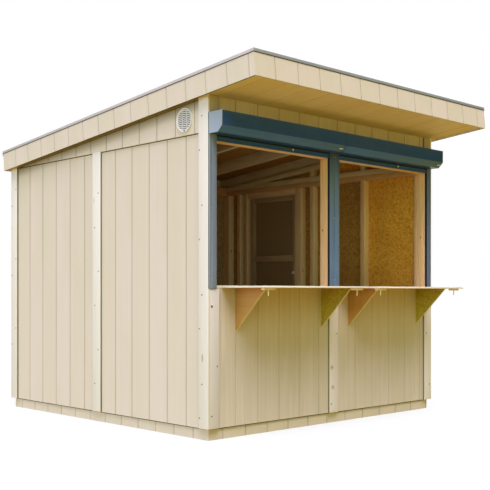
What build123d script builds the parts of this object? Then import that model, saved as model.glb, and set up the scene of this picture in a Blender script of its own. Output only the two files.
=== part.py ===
from build123d import *
from math import atan, cos, sin
import os

# A timber street kiosk with a single-pitch roof, two shuttered sales windows and a side door.
# Millimetres. X runs along the front to the right, Y from front to back, Z up.
# The origin is on the ground, under the centre of the floor.

# Overall sizes
width = 2420.0  # over the corner boards, side to side
depth = 2550.0  # over the corner boards, front to back
eave_height = 2261.0  # lower edge of the front fascia above the ground
back_eave_height = 1978.0  # lower edge of the back fascia
front_overhang = 489.0
back_overhang = 38.0
side_overhang = 45.0

# Board and sheet sections
trim_width = 97.0
trim_thick = 16.0
panel_thick = 12.0
stud_width = 45.0
stud_depth = 62.0
joint_gap = 0.4  # butt joints between boards of one piece
seam_gap = 2.0  # joint between two wall panels, under a cover board

# Base and floor
plinth_height = 76.0  # part of the plinth that shows below the walls
panel_lap = 12.0  # the wall panels hang this far over the plinth
floor_thick = 18.0
bearer_width = 60.0
bearer_count = 5

# Walls
side_wall_height = 2005.0  # top of the side panels
gable_lap = 12.0  # the gable panels hang this far over the side panels
plate_under = 1935.0  # underside of the level plates along the sides and back
front_plate_under = 2195.0  # underside of the plate over the front wall
mid_trim_width = 106.0  # cover boards over the panel joints of the sides and back
stud_spacing = 607.5  # studs of the side walls, each way from the middle one
corner_stud_thick = 35.0  # studs of the side walls behind the outer window posts
back_stud_count = 5

# Roof build-up, square to the slope from the lower edge of the fascia
soffit_rise = 16.0
soffit_thick = 12.0
rafter_height = 97.0
rafter_width = 45.0
rafter_spacing = 600.0  # inner rafters, each way from the middle one
deck_thick = 18.0
covering_thick = 4.0
fascia_thick = 12.0
edge_height = 25.0  # metal edge above the deck
edge_width = 20.0
edge_lip = 3.0  # metal edge stands proud of the fascia
drip_depth = 16.0  # back edge turned down over the fascia
drip_thick = 8.0

# Sales windows
sill_height = 985.0  # top of the panels and frame below the windows
sill_board_thick = 18.0
lintel_under = 1940.0
lintel_height = 100.0
guide_width = 53.0
guide_proud = 6.0  # guides stand this far in front of the corner boards
guide_below_sill = 2.0
shutter_lap = 9.5  # how far the left guide and housing lap over the left corner board's edge
housing_joint_shift = 9.0  # the joint between the two housings lies this far left of the middle
low_trim_below_sill = 4.0  # corner and mid boards stop just below the guides
shutter_bar_height = 37.0  # part of the shutter's bottom bar that shows under the housing
shutter_bar_thick = 12.0
shutter_bar_fit = 0.5

# Shutter housings over the windows
housing_height = 137.0
housing_depth = 144.0
housing_chamfer = 42.0
housing_trim_gap = 2.0  # between the housings and the boards above them

# Counter
shelf_depth = 400.0
shelf_thick = 13.0
shelf_above_sill = 15.0  # top of the shelves above the top of the wall under them
shelf_from_left = 130.0  # outer end of the left shelf, from the left corner
shelf_from_right = 108.0  # outer end of the right shelf, from the right corner
shelf_gap = 110.0  # between the two shelves
shelf_gap_shift = 15.0  # how far left of the middle the gap lies
bracket_reach = 285.0
bracket_drop = 285.0
bracket_thick = 12.0
bracket_insets = ((124.0, 42.5), (137.0, 73.0))  # for each shelf, from its left end and its right end
peg_block_length = 100.0
peg_block_width = 28.0
peg_block_thick = 14.0
peg_block_from_end = 25.0  # from a block to the end of its shelf
peg_block_from_edge = 25.0  # from a block to the front edge of its shelf
peg_pin_radius = 4.0
peg_pin_length = 36.0

# Vent in the left gable
vent_radius = 79.0
vent_thick = 10.0
vent_collar_radius = 58.0
vent_collar_wall = 3.0
vent_collar_fit = 1.0
vent_from_front = 238.0
vent_height = 2094.0

# Side door, in the right wall
door_width = 655.0  # clear width between the jambs
door_share = 0.2355  # share of the spare room beside the doorway that lies on its front side
lock_jamb_width = 80.0
far_stud_share = 0.36  # same, for the stud between the hinge jamb and the back corner
door_gap = 6.0
door_frame_thick = 28.0
door_stile = 57.0
door_mid_rail_height = 1283.0
stop_thick = 18.0
stop_reach = 15.0
hinge_axis_out = 6.0  # hinge pin in front of the outer boards
hinge_knuckle_radius = 5.5
hinge_pin_radius = 2.5
hinge_pin_fit = 0.3
hinge_plate_thick = 3.0
hinge_plate_height = 110.0
hinge_plate_reach = 45.0
hinge_strap_height = 36.0
hinge_strap_reach = 300.0
hinge_knuckle_gap = 0.5
hinge_from_end = 230.0
handle_height = 1143.0
handle_plate = (4.0, 40.0, 200.0)
handle_neck_radius = 9.0
handle_neck_length = 34.0
handle_bar_radius = 9.0
handle_bar_length = 115.0
knob_rose = (3.0, 18.0)  # thickness and radius of the disc under the inside knob
knob_neck = (12.0, 6.0)  # length and radius
knob_head = (14.0, 12.0)  # length and radius
spindle_radius = 5.0
spindle_fit = 0.4

# Worked-out places
left = -width / 2
front = -depth / 2
back = depth / 2
panel_face = trim_thick
frame_face = panel_face + panel_thick
frame_inside = frame_face + stud_depth
base_face = frame_face + panel_thick
base_top = plinth_height + panel_lap
bearer_height = base_top - floor_thick
sole_top = base_top + stud_width
plate_top = plate_under + stud_width
ledge_height = side_wall_height - gable_lap  # lower edge of the gable panels

roof_fall = (eave_height - back_eave_height) / (depth + front_overhang + back_overhang)
slope_cos = cos(atan(roof_fall))
slope_sin = sin(atan(roof_fall))
eave_y = front - front_overhang
roof_length = (depth + front_overhang + back_overhang) / slope_cos
rafter_under = soffit_rise + soffit_thick
gable_plate_under = rafter_under - stud_width
deck_under = rafter_under + rafter_height
deck_top = deck_under + deck_thick
roof_half = width / 2 + side_overhang

window_edge = trim_thick + guide_width  # from each corner
guide_foot = sill_height - guide_below_sill
housing_under = lintel_under + shutter_bar_height
housing_top = housing_under + housing_height
housing_front = panel_face - housing_depth  # from the front face
shelf_top = sill_height + shelf_above_sill
shelf_under = shelf_top - shelf_thick
shelf_front = panel_face - shelf_depth  # from the front face
gap_middle = width / 2 - shelf_gap_shift

mid_trim_far = (depth + mid_trim_width) / 2  # from the front, as the doorway's places are
door_spare = depth - trim_width - mid_trim_far - door_width - 2 * trim_width
door_near = mid_trim_far + trim_width + door_share * door_spare  # lock side
door_far = door_near + door_width  # hinge side
door_head = ledge_height - trim_width
door_pin_x = width / 2 + hinge_axis_out
door_pin_y = front + door_far - door_gap / 2

roof_plane = Plane(origin=(0, eave_y, eave_height), x_dir=(1, 0, 0), z_dir=(0, slope_sin, slope_cos))
LOW = (Align.MIN, Align.MIN, Align.MIN)
UPWARD = (Align.CENTER, Align.CENTER, Align.MIN)
DOWNWARD = (Align.CENTER, Align.CENTER, Align.MAX)
os.makedirs("parts", exist_ok=True)


def roof_z(y, rise):
    """Height of a line parallel to the roof, a rise square above the fascia's lower edge, at y."""
    return eave_height - roof_fall * (y - eave_y) + rise / slope_cos


def run_at(z, rise):
    """Y where a line parallel to the roof, a rise square above the fascia's edge, is at height z."""
    return eave_y + (eave_height + rise / slope_cos - z) / roof_fall


def along_roof(y, rise):
    """Distance down the slope of the point with this y and rise."""
    return (y - eave_y - rise * slope_sin) / slope_cos


def board(x, y, z, mode=Mode.ADD):
    """Add a box to the part being built, or cut it away, from its limits in X, Y and Z."""
    with Locations((min(x), min(y), min(z))):
        Box(abs(x[1] - x[0]), abs(y[1] - y[0]), abs(z[1] - z[0]), align=LOW, mode=mode)


def across(x, outline):
    """Add a solid between two limits in X, from its outline in Y and Z."""
    with BuildSketch(Plane.YZ.offset(min(x))) as profile:
        with BuildLine():
            Polyline(*outline, close=True)
        make_face()
    extrude(profile.sketch, amount=abs(x[1] - x[0]))


def side_layer(side, outer, inner):
    """X limits between two depths in from a side's outer face: side is -1 on the left, 1 on the right."""
    return side * (width / 2 - outer), side * (width / 2 - inner)


def end_layer(end, outer, inner):
    """Y limits between two depths in from an end's outer face: end is -1 in front, 1 at the back."""
    return end * (depth / 2 - outer), end * (depth / 2 - inner)


def from_left(near, far):
    """X limits measured from the left outer face."""
    return left + near, left + far


def from_front(near, far):
    """Y limits measured from the front outer face."""
    return front + near, front + far


def centred(middle, size):
    """Limits of a width about its middle."""
    return middle - size / 2, middle + size / 2


def next_to(edge, size):
    """Limits of a width that starts at an edge, or ends there when the size is negative."""
    return min(edge, edge + size), max(edge, edge + size)


def save(builder, name):
    """Label a finished piece and write its file."""
    builder.part.label = name
    export_step(builder.part, f"parts/{name}.step")


# Base: bearers on the ground, plinth boards round them and the floor on top
inside_plinth = from_left(base_face, width - base_face)
between_panels = from_left(frame_face, width - frame_face)

with BuildPart() as base_bearers:
    bearer_run = depth - 2 * base_face - bearer_width
    for step in range(bearer_count):
        middle = -bearer_run / 2 + step * bearer_run / (bearer_count - 1)
        board(inside_plinth, centred(middle, bearer_width), (0, bearer_height))
save(base_bearers, "base_bearers")

with BuildPart() as floor_deck:
    board(inside_plinth, from_front(base_face, depth - base_face), (bearer_height, base_top))
save(floor_deck, "floor_deck")

with BuildPart() as plinth_boards:
    for end in (-1, 1):
        board(between_panels, end_layer(end, frame_face, base_face), (0, base_top))
    plinth_run = from_front(base_face + joint_gap, depth - base_face - joint_gap)
    for side in (-1, 1):
        board(side_layer(side, frame_face, base_face), plinth_run, (0, base_top))
save(plinth_boards, "plinth_boards")

# Wall frames. The sides' plates and studs fit between the front frame and the back frame.
side_run = (frame_inside + joint_gap, depth - frame_inside - joint_gap)
with BuildPart() as sole_plates:
    sole_z = (base_top, sole_top)
    for end in (-1, 1):
        board(between_panels, end_layer(end, frame_face, frame_inside), sole_z)
    board(side_layer(-1, frame_face, frame_inside), from_front(*side_run), sole_z)
    board(side_layer(1, frame_face, frame_inside), from_front(side_run[0], door_near), sole_z)
    board(side_layer(1, frame_face, frame_inside), from_front(door_far, side_run[1]), sole_z)
save(sole_plates, "sole_plates")

with BuildPart() as top_plates:
    for side in (-1, 1):
        board(side_layer(side, frame_face, frame_inside), from_front(*side_run), (plate_under, plate_top))
    for end, under in ((-1, front_plate_under), (1, plate_under)):
        near, far = sorted(end_layer(end, frame_face, frame_inside))
        far_top = (far, roof_z(far, rafter_under))
        near_top = (near, roof_z(near, rafter_under))
        across(between_panels, [(near, under), (far, under), far_top, near_top])
save(top_plates, "top_plates")

corner_stud = next_to(frame_inside, corner_stud_thick)
near_stud = centred(depth / 2 - stud_spacing, stud_width)
mid_stud = centred(depth / 2, stud_width)
far_stud = centred(depth / 2 + stud_spacing, stud_width)
back_corner_stud = next_to(depth - frame_inside, -stud_width)
lock_jamb = next_to(door_near, -lock_jamb_width)
hinge_jamb = next_to(door_far, stud_width)
spare_by_hinge_jamb = back_corner_stud[0] - hinge_jamb[1] - stud_width
stud_past_door = next_to(hinge_jamb[1] + far_stud_share * spare_by_hinge_jamb, stud_width)
stud_z = (sole_top, plate_under)

with BuildPart() as left_studs:
    board(side_layer(-1, frame_face, window_edge), from_front(*corner_stud), stud_z)
    for stud in (near_stud, mid_stud, far_stud, back_corner_stud):
        board(side_layer(-1, frame_face, frame_inside), from_front(*stud), stud_z)
save(left_studs, "left_studs")

header_y = from_front(door_near + joint_gap, door_far - joint_gap)
with BuildPart() as right_studs:
    board(side_layer(1, frame_face, window_edge), from_front(*corner_stud), stud_z)
    for stud in (near_stud, mid_stud, lock_jamb, hinge_jamb, stud_past_door, back_corner_stud):
        board(side_layer(1, frame_face, frame_inside), from_front(*stud), stud_z)
    board(side_layer(1, frame_face, frame_inside), header_y, (door_head, plate_under))
save(right_studs, "right_studs")

with BuildPart() as back_studs:
    stud_span = width - 2 * frame_face - stud_width
    for step in range(back_stud_count):
        middle = -stud_span / 2 + step * stud_span / (back_stud_count - 1)
        board(centred(middle, stud_width), end_layer(1, frame_face, frame_inside), stud_z)
save(back_studs, "back_studs")

post_edges = (
    (frame_face, window_edge),
    (width / 2 - guide_width, width / 2 + guide_width),
    (width - window_edge, width - frame_face),
)
with BuildPart() as front_posts:
    for near, far in post_edges:
        board(from_left(near, far), end_layer(-1, frame_face, frame_inside), (sole_top, lintel_under))
save(front_posts, "front_posts")

with BuildPart() as front_studs:
    window_middles = [(post_edges[i][1] + post_edges[i + 1][0]) / 2 for i in (0, 1)]
    for middle in window_middles:
        stud_x = from_left(*centred(middle, stud_width))
        stud_y = end_layer(-1, frame_face, frame_inside)
        board(stud_x, stud_y, (sole_top, sill_height - stud_width))
        board(stud_x, stud_y, (lintel_under + lintel_height, front_plate_under))
    for middle in (frame_face + stud_width / 2, width / 2, width - frame_face - stud_width / 2):
        stud_x = from_left(*centred(middle, stud_width))
        stud_y = end_layer(-1, frame_face, frame_inside)
        board(stud_x, stud_y, (lintel_under + lintel_height, front_plate_under))
save(front_studs, "front_studs")

with BuildPart() as window_rails:
    for i in (0, 1):
        rail_x = from_left(post_edges[i][1], post_edges[i + 1][0])
        board(rail_x, end_layer(-1, frame_face, frame_inside), (sill_height - stud_width, sill_height))
    lintel_z = (lintel_under, lintel_under + lintel_height)
    board(between_panels, end_layer(-1, frame_face, frame_inside), lintel_z)
save(window_rails, "window_rails")

with BuildPart() as window_linings:
    for i in (0, 1):
        sill_x = from_left(post_edges[i][1] + joint_gap, post_edges[i + 1][0] - joint_gap)
        sill_y = end_layer(-1, panel_face, frame_inside)
        board(sill_x, sill_y, (sill_height, sill_height + sill_board_thick))
    for near, far in post_edges:
        board(from_left(near, far), end_layer(-1, panel_face, frame_face), (sill_height, lintel_under))
save(window_linings, "window_linings")

# Wall panels
with BuildPart() as front_panels:
    for side in (-1, 1):
        panel_x = side_layer(side, frame_face, (width - seam_gap) / 2)
        board(panel_x, end_layer(-1, panel_face, frame_face), (plinth_height, sill_height))
    upper_z = (lintel_under, roof_z(front + frame_face, rafter_under))
    board(between_panels, end_layer(-1, panel_face, frame_face), upper_z)
save(front_panels, "front_panels")

side_panel_z = (plinth_height, side_wall_height)
near_panel = (panel_face, (depth - seam_gap) / 2)
far_panel = ((depth + seam_gap) / 2, depth - panel_face)
with BuildPart() as left_panels:
    for panel in (near_panel, far_panel):
        board(side_layer(-1, panel_face, frame_face), from_front(*panel), side_panel_z)
save(left_panels, "left_panels")

with BuildPart() as right_panels:
    for panel in (near_panel, (far_panel[0], door_near), (door_far, far_panel[1])):
        board(side_layer(1, panel_face, frame_face), from_front(*panel), side_panel_z)
    board(side_layer(1, panel_face, frame_face), header_y, (door_head, side_wall_height))
save(right_panels, "right_panels")

with BuildPart() as back_panels:
    back_panel_z = (plinth_height, roof_z(back - panel_face, rafter_under))
    for side in (-1, 1):
        panel_x = side_layer(side, frame_face, (width - seam_gap) / 2)
        board(panel_x, end_layer(1, panel_face, frame_face), back_panel_z)
save(back_panels, "back_panels")

# Gable panels: tapered, fixed over the top of the side panels and running up to the roof deck
gable_near = front + trim_width
gable_far = back - trim_width
gable_outline = [
    (gable_near, ledge_height),
    (gable_far, ledge_height),
    (gable_far, roof_z(gable_far, deck_under)),
    (gable_near, roof_z(gable_near, deck_under)),
]
gable_outer = panel_face - panel_thick
vent_y = front + vent_from_front
with BuildPart() as gable_panels:
    for side in (-1, 1):
        across(side_layer(side, gable_outer, panel_face), gable_outline)
    with Locations(Location((left, vent_y, vent_height), (0, 90, 0))):
        Cylinder(vent_collar_radius + vent_collar_fit, 2 * frame_face, mode=Mode.SUBTRACT)
save(gable_panels, "gable_panels")

# Gable frames: a sloping plate under the rafters, a level rail that runs out under it, and short studs
rail_top = plate_top + stud_width
rail_near, rail_far = from_front(*side_run)
rail_end = run_at(rail_top, gable_plate_under)
slope_meets_plate = run_at(plate_top, gable_plate_under)
with BuildPart() as gable_rails:
    rail_outline = [
        (rail_near, plate_top),
        (slope_meets_plate, plate_top),
        (rail_end, rail_top),
        (rail_near, rail_top),
    ]
    for side in (-1, 1):
        across(side_layer(side, frame_face, frame_inside), rail_outline)
save(gable_rails, "gable_rails")

with BuildPart() as gable_top_plates:
    sloping_outline = [
        (rail_near, roof_z(rail_near, gable_plate_under)),
        (slope_meets_plate, plate_top),
        (rail_far, plate_top),
        (rail_far, roof_z(rail_far, rafter_under)),
        (rail_near, roof_z(rail_near, rafter_under)),
    ]
    for side in (-1, 1):
        across(side_layer(side, frame_face, frame_inside), sloping_outline)
save(gable_top_plates, "gable_top_plates")

with BuildPart() as gable_studs:
    for stud in (next_to(side_run[0], stud_width), near_stud, mid_stud):
        near, far = from_front(*stud)
        near_top = (near, roof_z(near, gable_plate_under))
        far_top = (far, roof_z(far, gable_plate_under))
        for side in (-1, 1):
            stud_outline = [(near, rail_top), (far, rail_top), far_top, near_top]
            across(side_layer(side, frame_face, frame_inside), stud_outline)
save(gable_studs, "gable_studs")

# Roof, built in a frame that lies on the slope: X across, Y down the slope, Z square to it
roof_run = (fascia_thick, roof_length - fascia_thick)
fascia_inner = roof_half - fascia_thick
end_rafter = (width - rafter_width) / 2 - panel_face
with BuildPart(roof_plane) as rafters:
    for middle in (-end_rafter, -rafter_spacing, 0, rafter_spacing, end_rafter):
        board(centred(middle, rafter_width), roof_run, (rafter_under, deck_under))
    for side in (-1, 1):
        barge_x = (side * fascia_inner, side * (width / 2 - gable_outer))
        board(barge_x, roof_run, (rafter_under, deck_under))
save(rafters, "rafters")

with BuildPart(roof_plane) as roof_deck:
    board((-fascia_inner, fascia_inner), roof_run, (deck_under, deck_top))
save(roof_deck, "roof_deck")

edge_inner = roof_half - edge_width
with BuildPart(roof_plane) as roof_covering:
    covering_run = (edge_width, roof_length - edge_width)
    board((-edge_inner, edge_inner), covering_run, (deck_top, deck_top + covering_thick))
save(roof_covering, "roof_covering")

with BuildPart(roof_plane) as roof_edge_trim:
    edge_outer = roof_half + edge_lip
    edge_z = (deck_top, deck_top + edge_height)
    board((-edge_outer, edge_outer), (-edge_lip, edge_width), edge_z)
    board((-edge_outer, edge_outer), (roof_length - edge_width, roof_length), edge_z)
    for side in (-1, 1):
        edge_run = (edge_width + joint_gap, roof_length - edge_width - joint_gap)
        board((side * edge_inner, side * edge_outer), edge_run, edge_z)
save(roof_edge_trim, "roof_edge_trim")

with BuildPart(roof_plane) as roof_drip_edge:
    drip_z = (deck_top - drip_depth, deck_top + edge_height)
    board((-edge_outer, edge_outer), (roof_length, roof_length + drip_thick), drip_z)
save(roof_drip_edge, "roof_drip_edge")

with BuildPart(roof_plane) as end_fascias:
    for run in ((0, fascia_thick), (roof_length - fascia_thick, roof_length)):
        board((-roof_half, roof_half), run, (0, deck_top))
save(end_fascias, "end_fascias")

with BuildPart(roof_plane) as side_fascias:
    for side in (-1, 1):
        board((side * fascia_inner, side * roof_half), roof_run, (0, deck_top))
save(side_fascias, "side_fascias")

soffit_z = (soffit_rise, rafter_under)
front_soffit_end = along_roof(front + panel_face, rafter_under)
back_soffit_start = along_roof(back - panel_face, soffit_rise)
with BuildPart(roof_plane) as soffit_boards:
    board((-fascia_inner, fascia_inner), (fascia_thick, front_soffit_end), soffit_z)
    board((-fascia_inner, fascia_inner), (back_soffit_start, roof_length - fascia_thick), soffit_z)
    strip_run = (front_soffit_end + joint_gap, back_soffit_start - joint_gap)
    for side in (-1, 1):
        board((side * fascia_inner, side * (width / 2 - gable_outer)), strip_run, soffit_z)
save(soffit_boards, "soffit_boards")

# Cover boards on the corners and over the panel joints
with BuildPart() as side_trims:
    mid_y = from_front(*centred(depth / 2, mid_trim_width))
    for near, far in ((front, gable_near), (gable_far, back)):
        far_top = (far, roof_z(far, soffit_rise))
        near_top = (near, roof_z(near, soffit_rise))
        for side in (-1, 1):
            trim_outline = [(near, plinth_height), (far, plinth_height), far_top, near_top]
            across(side_layer(side, 0, trim_thick), trim_outline)
    for side in (-1, 1):
        board(side_layer(side, 0, trim_thick), mid_y, (plinth_height, ledge_height))
save(side_trims, "side_trims")

with BuildPart() as front_trims:
    low_trim_z = (plinth_height, sill_height - low_trim_below_sill)
    upper_trim_z = (housing_top + housing_trim_gap, roof_z(front + trim_thick, soffit_rise))
    for side in (-1, 1):
        trim_x = side_layer(side, trim_thick, trim_width)
        board(trim_x, end_layer(-1, 0, trim_thick), low_trim_z)
        board(trim_x, end_layer(-1, 0, trim_thick), upper_trim_z)
    board(centred(0, trim_width), end_layer(-1, 0, trim_thick), low_trim_z)
save(front_trims, "front_trims")

with BuildPart() as back_trims:
    back_trim_z = (plinth_height, roof_z(back, soffit_rise))
    for side in (-1, 1):
        board(side_layer(side, trim_thick, trim_width), end_layer(1, 0, trim_thick), back_trim_z)
    board(centred(0, mid_trim_width), end_layer(1, 0, trim_thick), back_trim_z)
save(back_trims, "back_trims")

# Doorway in the right wall
with BuildPart() as door_surround:
    surround_x = side_layer(1, 0, trim_thick)
    for near, far in ((door_near - trim_width, door_near), (door_far, door_far + trim_width)):
        board(surround_x, from_front(near, far), (plinth_height, ledge_height))
    board(surround_x, header_y, (door_head, ledge_height))
    board(side_layer(1, 0, frame_face), header_y, (plinth_height, base_top))
save(door_surround, "door_surround")

leaf_inside = frame_face + door_frame_thick
with BuildPart() as door_stops:
    stop_x = side_layer(1, leaf_inside + door_gap, leaf_inside + door_gap + stop_thick)
    board(stop_x, from_front(door_near, door_near + stop_reach), (base_top, door_head))
    board(stop_x, from_front(door_far - stop_reach, door_far), (base_top, door_head))
    head_stop_y = from_front(door_near + stop_reach + joint_gap, door_far - stop_reach - joint_gap)
    board(stop_x, head_stop_y, (door_head - stop_reach, door_head))
save(door_stops, "door_stops")

# Door leaf: grooved panel, boards outside, framing inside
leaf_near = door_near + door_gap
leaf_far = door_far - door_gap
leaf_foot = base_top + door_gap
leaf_top = door_head - door_gap
spindle_y = leaf_near + door_stile / 2
with BuildPart() as door_panel:
    board(side_layer(1, panel_face, frame_face), from_front(leaf_near, leaf_far), (leaf_foot, leaf_top))
    with Locations(Location((width / 2, front + spindle_y, handle_height), (0, 90, 0))):
        Cylinder(spindle_radius + spindle_fit, width / 2, mode=Mode.SUBTRACT)
save(door_panel, "door_panel")


def door_ladder(layer, stile):
    """Add two stiles and three rails of one layer of the leaf, drilled for the handle's spindle."""
    for near, far in ((leaf_near, leaf_near + stile), (leaf_far - stile, leaf_far)):
        board(layer, from_front(near, far), (leaf_foot, leaf_top))
    rail_y = from_front(leaf_near + stile + joint_gap, leaf_far - stile - joint_gap)
    rail_middles = (leaf_foot + stile / 2, door_mid_rail_height, leaf_top - stile / 2)
    for middle in rail_middles:
        board(layer, rail_y, centred(middle, stile))
    with Locations(Location((width / 2, front + spindle_y, handle_height), (0, 90, 0))):
        Cylinder(spindle_radius + spindle_fit, width / 2, mode=Mode.SUBTRACT)


with BuildPart() as door_boards:
    door_ladder(side_layer(1, 0, trim_thick), trim_width)
save(door_boards, "door_boards")

with BuildPart() as door_framing:
    door_ladder(side_layer(1, frame_face, leaf_inside), door_stile)
save(door_framing, "door_framing")

# Door hinges: the plates stay on the surround, the straps turn with the leaf on the plates' pins
hinge_heights = (leaf_foot + hinge_from_end, leaf_top - hinge_from_end)
face_x = width / 2
plate_x = (face_x, face_x + hinge_plate_thick)
knuckle_height = (hinge_plate_height - hinge_strap_height) / 2 - hinge_knuckle_gap
knuckle_clear = hinge_knuckle_radius + 2 * hinge_knuckle_gap
with BuildPart() as door_hinge_plates:
    for middle in hinge_heights:
        plate_z = centred(middle, hinge_plate_height)
        board(plate_x, (door_pin_y + knuckle_clear, door_pin_y + hinge_plate_reach), plate_z)
        for knuckle_foot in (plate_z[0], plate_z[1] - knuckle_height):
            knuckle_z = (knuckle_foot, knuckle_foot + knuckle_height)
            board(plate_x, (door_pin_y, door_pin_y + knuckle_clear), knuckle_z)
            with Locations((door_pin_x, door_pin_y, knuckle_foot)):
                Cylinder(hinge_knuckle_radius, knuckle_height, align=UPWARD)
        with Locations((door_pin_x, door_pin_y, middle)):
            Cylinder(hinge_pin_radius, hinge_plate_height)
save(door_hinge_plates, "door_hinge_plates")

with BuildPart() as door_hinge_straps:
    for middle in hinge_heights:
        strap_z = centred(middle, hinge_strap_height)
        board(plate_x, (door_pin_y - hinge_strap_reach, door_pin_y), strap_z)
        with Locations((door_pin_x, door_pin_y, middle)):
            Cylinder(hinge_knuckle_radius, hinge_strap_height)
            Cylinder(hinge_pin_radius + hinge_pin_fit, hinge_strap_height, mode=Mode.SUBTRACT)
save(door_hinge_straps, "door_hinge_straps")

# Handle: a plate and a bar outside and a small knob inside, joined by the spindle
handle_y = front + spindle_y
leaf_back = face_x - leaf_inside


def across_door(radius, x):
    """Add a round bar on the spindle's line, between two limits in X."""
    with Locations(Location(((x[0] + x[1]) / 2, handle_y, handle_height), (0, 90, 0))):
        Cylinder(radius, abs(x[1] - x[0]))


with BuildPart() as door_handle:
    plate_thick, plate_width, plate_height = handle_plate
    handle_plate_z = centred(handle_height, plate_height)
    board(next_to(face_x, plate_thick), centred(handle_y, plate_width), handle_plate_z)
    bar_x = face_x + handle_neck_length
    across_door(handle_neck_radius, (face_x, bar_x))
    bar_middle = handle_y + handle_bar_length / 2 - handle_neck_radius
    with Locations(Location((bar_x, bar_middle, handle_height), (90, 0, 0))):
        Cylinder(handle_bar_radius, handle_bar_length)
    across_door(spindle_radius, (face_x, leaf_back))
    reach = leaf_back
    for length, radius in (knob_rose, knob_neck, knob_head):
        across_door(radius, (reach, reach - length))
        reach -= length
save(door_handle, "door_handle")

# Roller shutters: housings, guides and the bottom bars that show under the housings
wall_y = front + panel_face
lap_x = from_left(trim_thick - shutter_lap, trim_thick)
housing_joint = width / 2 - housing_joint_shift


def housing_outline(back_y):
    """A housing's outline in Y and Z, from its back to its chamfered front."""
    front_y = front + housing_front
    return [
        (back_y, housing_under),
        (back_y, housing_top),
        (front_y, housing_top),
        (front_y, housing_under + housing_chamfer),
        (front_y + housing_chamfer, housing_under),
    ]


with BuildPart() as shutter_housings:
    across(lap_x, housing_outline(front))
    across(from_left(trim_thick, housing_joint - joint_gap / 2), housing_outline(wall_y))
    across(from_left(housing_joint + joint_gap / 2, width - trim_thick), housing_outline(wall_y))
save(shutter_housings, "shutter_housings")

guide_starts = (trim_thick, width / 2 - guide_width, width / 2 + joint_gap, width - window_edge)
with BuildPart() as shutter_guides:
    board(lap_x, from_front(-guide_proud, 0), (guide_foot, housing_under))
    guide_y = from_front(-guide_proud, panel_face)
    for near in guide_starts:
        board(from_left(near, near + guide_width), guide_y, (guide_foot, housing_under))
save(shutter_guides, "shutter_guides")

bar_fit = joint_gap + shutter_bar_fit
with BuildPart() as shutter_bars:
    for i in (0, 1):
        bar_x = from_left(post_edges[i][1] + bar_fit, post_edges[i + 1][0] - bar_fit)
        board(bar_x, from_front(0, shutter_bar_thick), (lintel_under, housing_under))
save(shutter_bars, "shutter_bars")

# Counter: two shelves notched round the guides, on triangular brackets, with pegged blocks under their ends
shelf_spans = (
    (shelf_from_left, gap_middle - shelf_gap / 2),
    (gap_middle + shelf_gap / 2, width - shelf_from_right),
)
with BuildPart() as counter_shelves:
    for near, far in shelf_spans:
        board(from_left(near, far), from_front(shelf_front, panel_face), (shelf_under, shelf_top))
    notch_y = from_front(-guide_proud - joint_gap, panel_face)
    for near in guide_starts:
        notch_x = from_left(near - joint_gap, near + guide_width + joint_gap)
        board(notch_x, notch_y, (shelf_under, shelf_top), mode=Mode.SUBTRACT)
save(counter_shelves, "counter_shelves")

with BuildPart() as counter_brackets:
    bracket_outline = [
        (wall_y, shelf_under),
        (wall_y - bracket_reach, shelf_under),
        (wall_y, shelf_under - bracket_drop),
    ]
    for (near, far), (after_near, before_far) in zip(shelf_spans, bracket_insets):
        for start in (near + after_near, far - before_far - bracket_thick):
            across(from_left(start, start + bracket_thick), bracket_outline)
save(counter_brackets, "counter_brackets")

with BuildPart() as shelf_pegs:
    peg_y = front + shelf_front + peg_block_from_edge + peg_block_width / 2
    peg_inset = peg_block_from_end + peg_block_length / 2
    block_under = shelf_under - peg_block_thick
    for near, far in shelf_spans:
        for place in (near + peg_inset, far - peg_inset):
            peg_x = left + place
            block_x = centred(peg_x, peg_block_length)
            board(block_x, centred(peg_y, peg_block_width), (block_under, shelf_under))
            with Locations((peg_x, peg_y, block_under)):
                Cylinder(peg_pin_radius, peg_pin_length, align=DOWNWARD)
save(shelf_pegs, "shelf_pegs")

# Round vent: a flanged disc on the gable panel with a collar through it
vent_x = left + gable_outer
with BuildPart() as vent_grille:
    with BuildSketch(Plane.YZ.offset(vent_x - vent_thick)):
        with Locations((vent_y, vent_height)):
            Circle(vent_radius)
    extrude(amount=vent_thick)
    with BuildSketch(Plane.YZ.offset(vent_x)):
        with Locations((vent_y, vent_height)):
            Circle(vent_collar_radius)
            Circle(vent_collar_radius - vent_collar_wall, mode=Mode.SUBTRACT)
    extrude(amount=panel_thick)
save(vent_grille, "vent_grille")
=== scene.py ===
import bpy
import math
import random
from mathutils import Matrix, Vector


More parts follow.
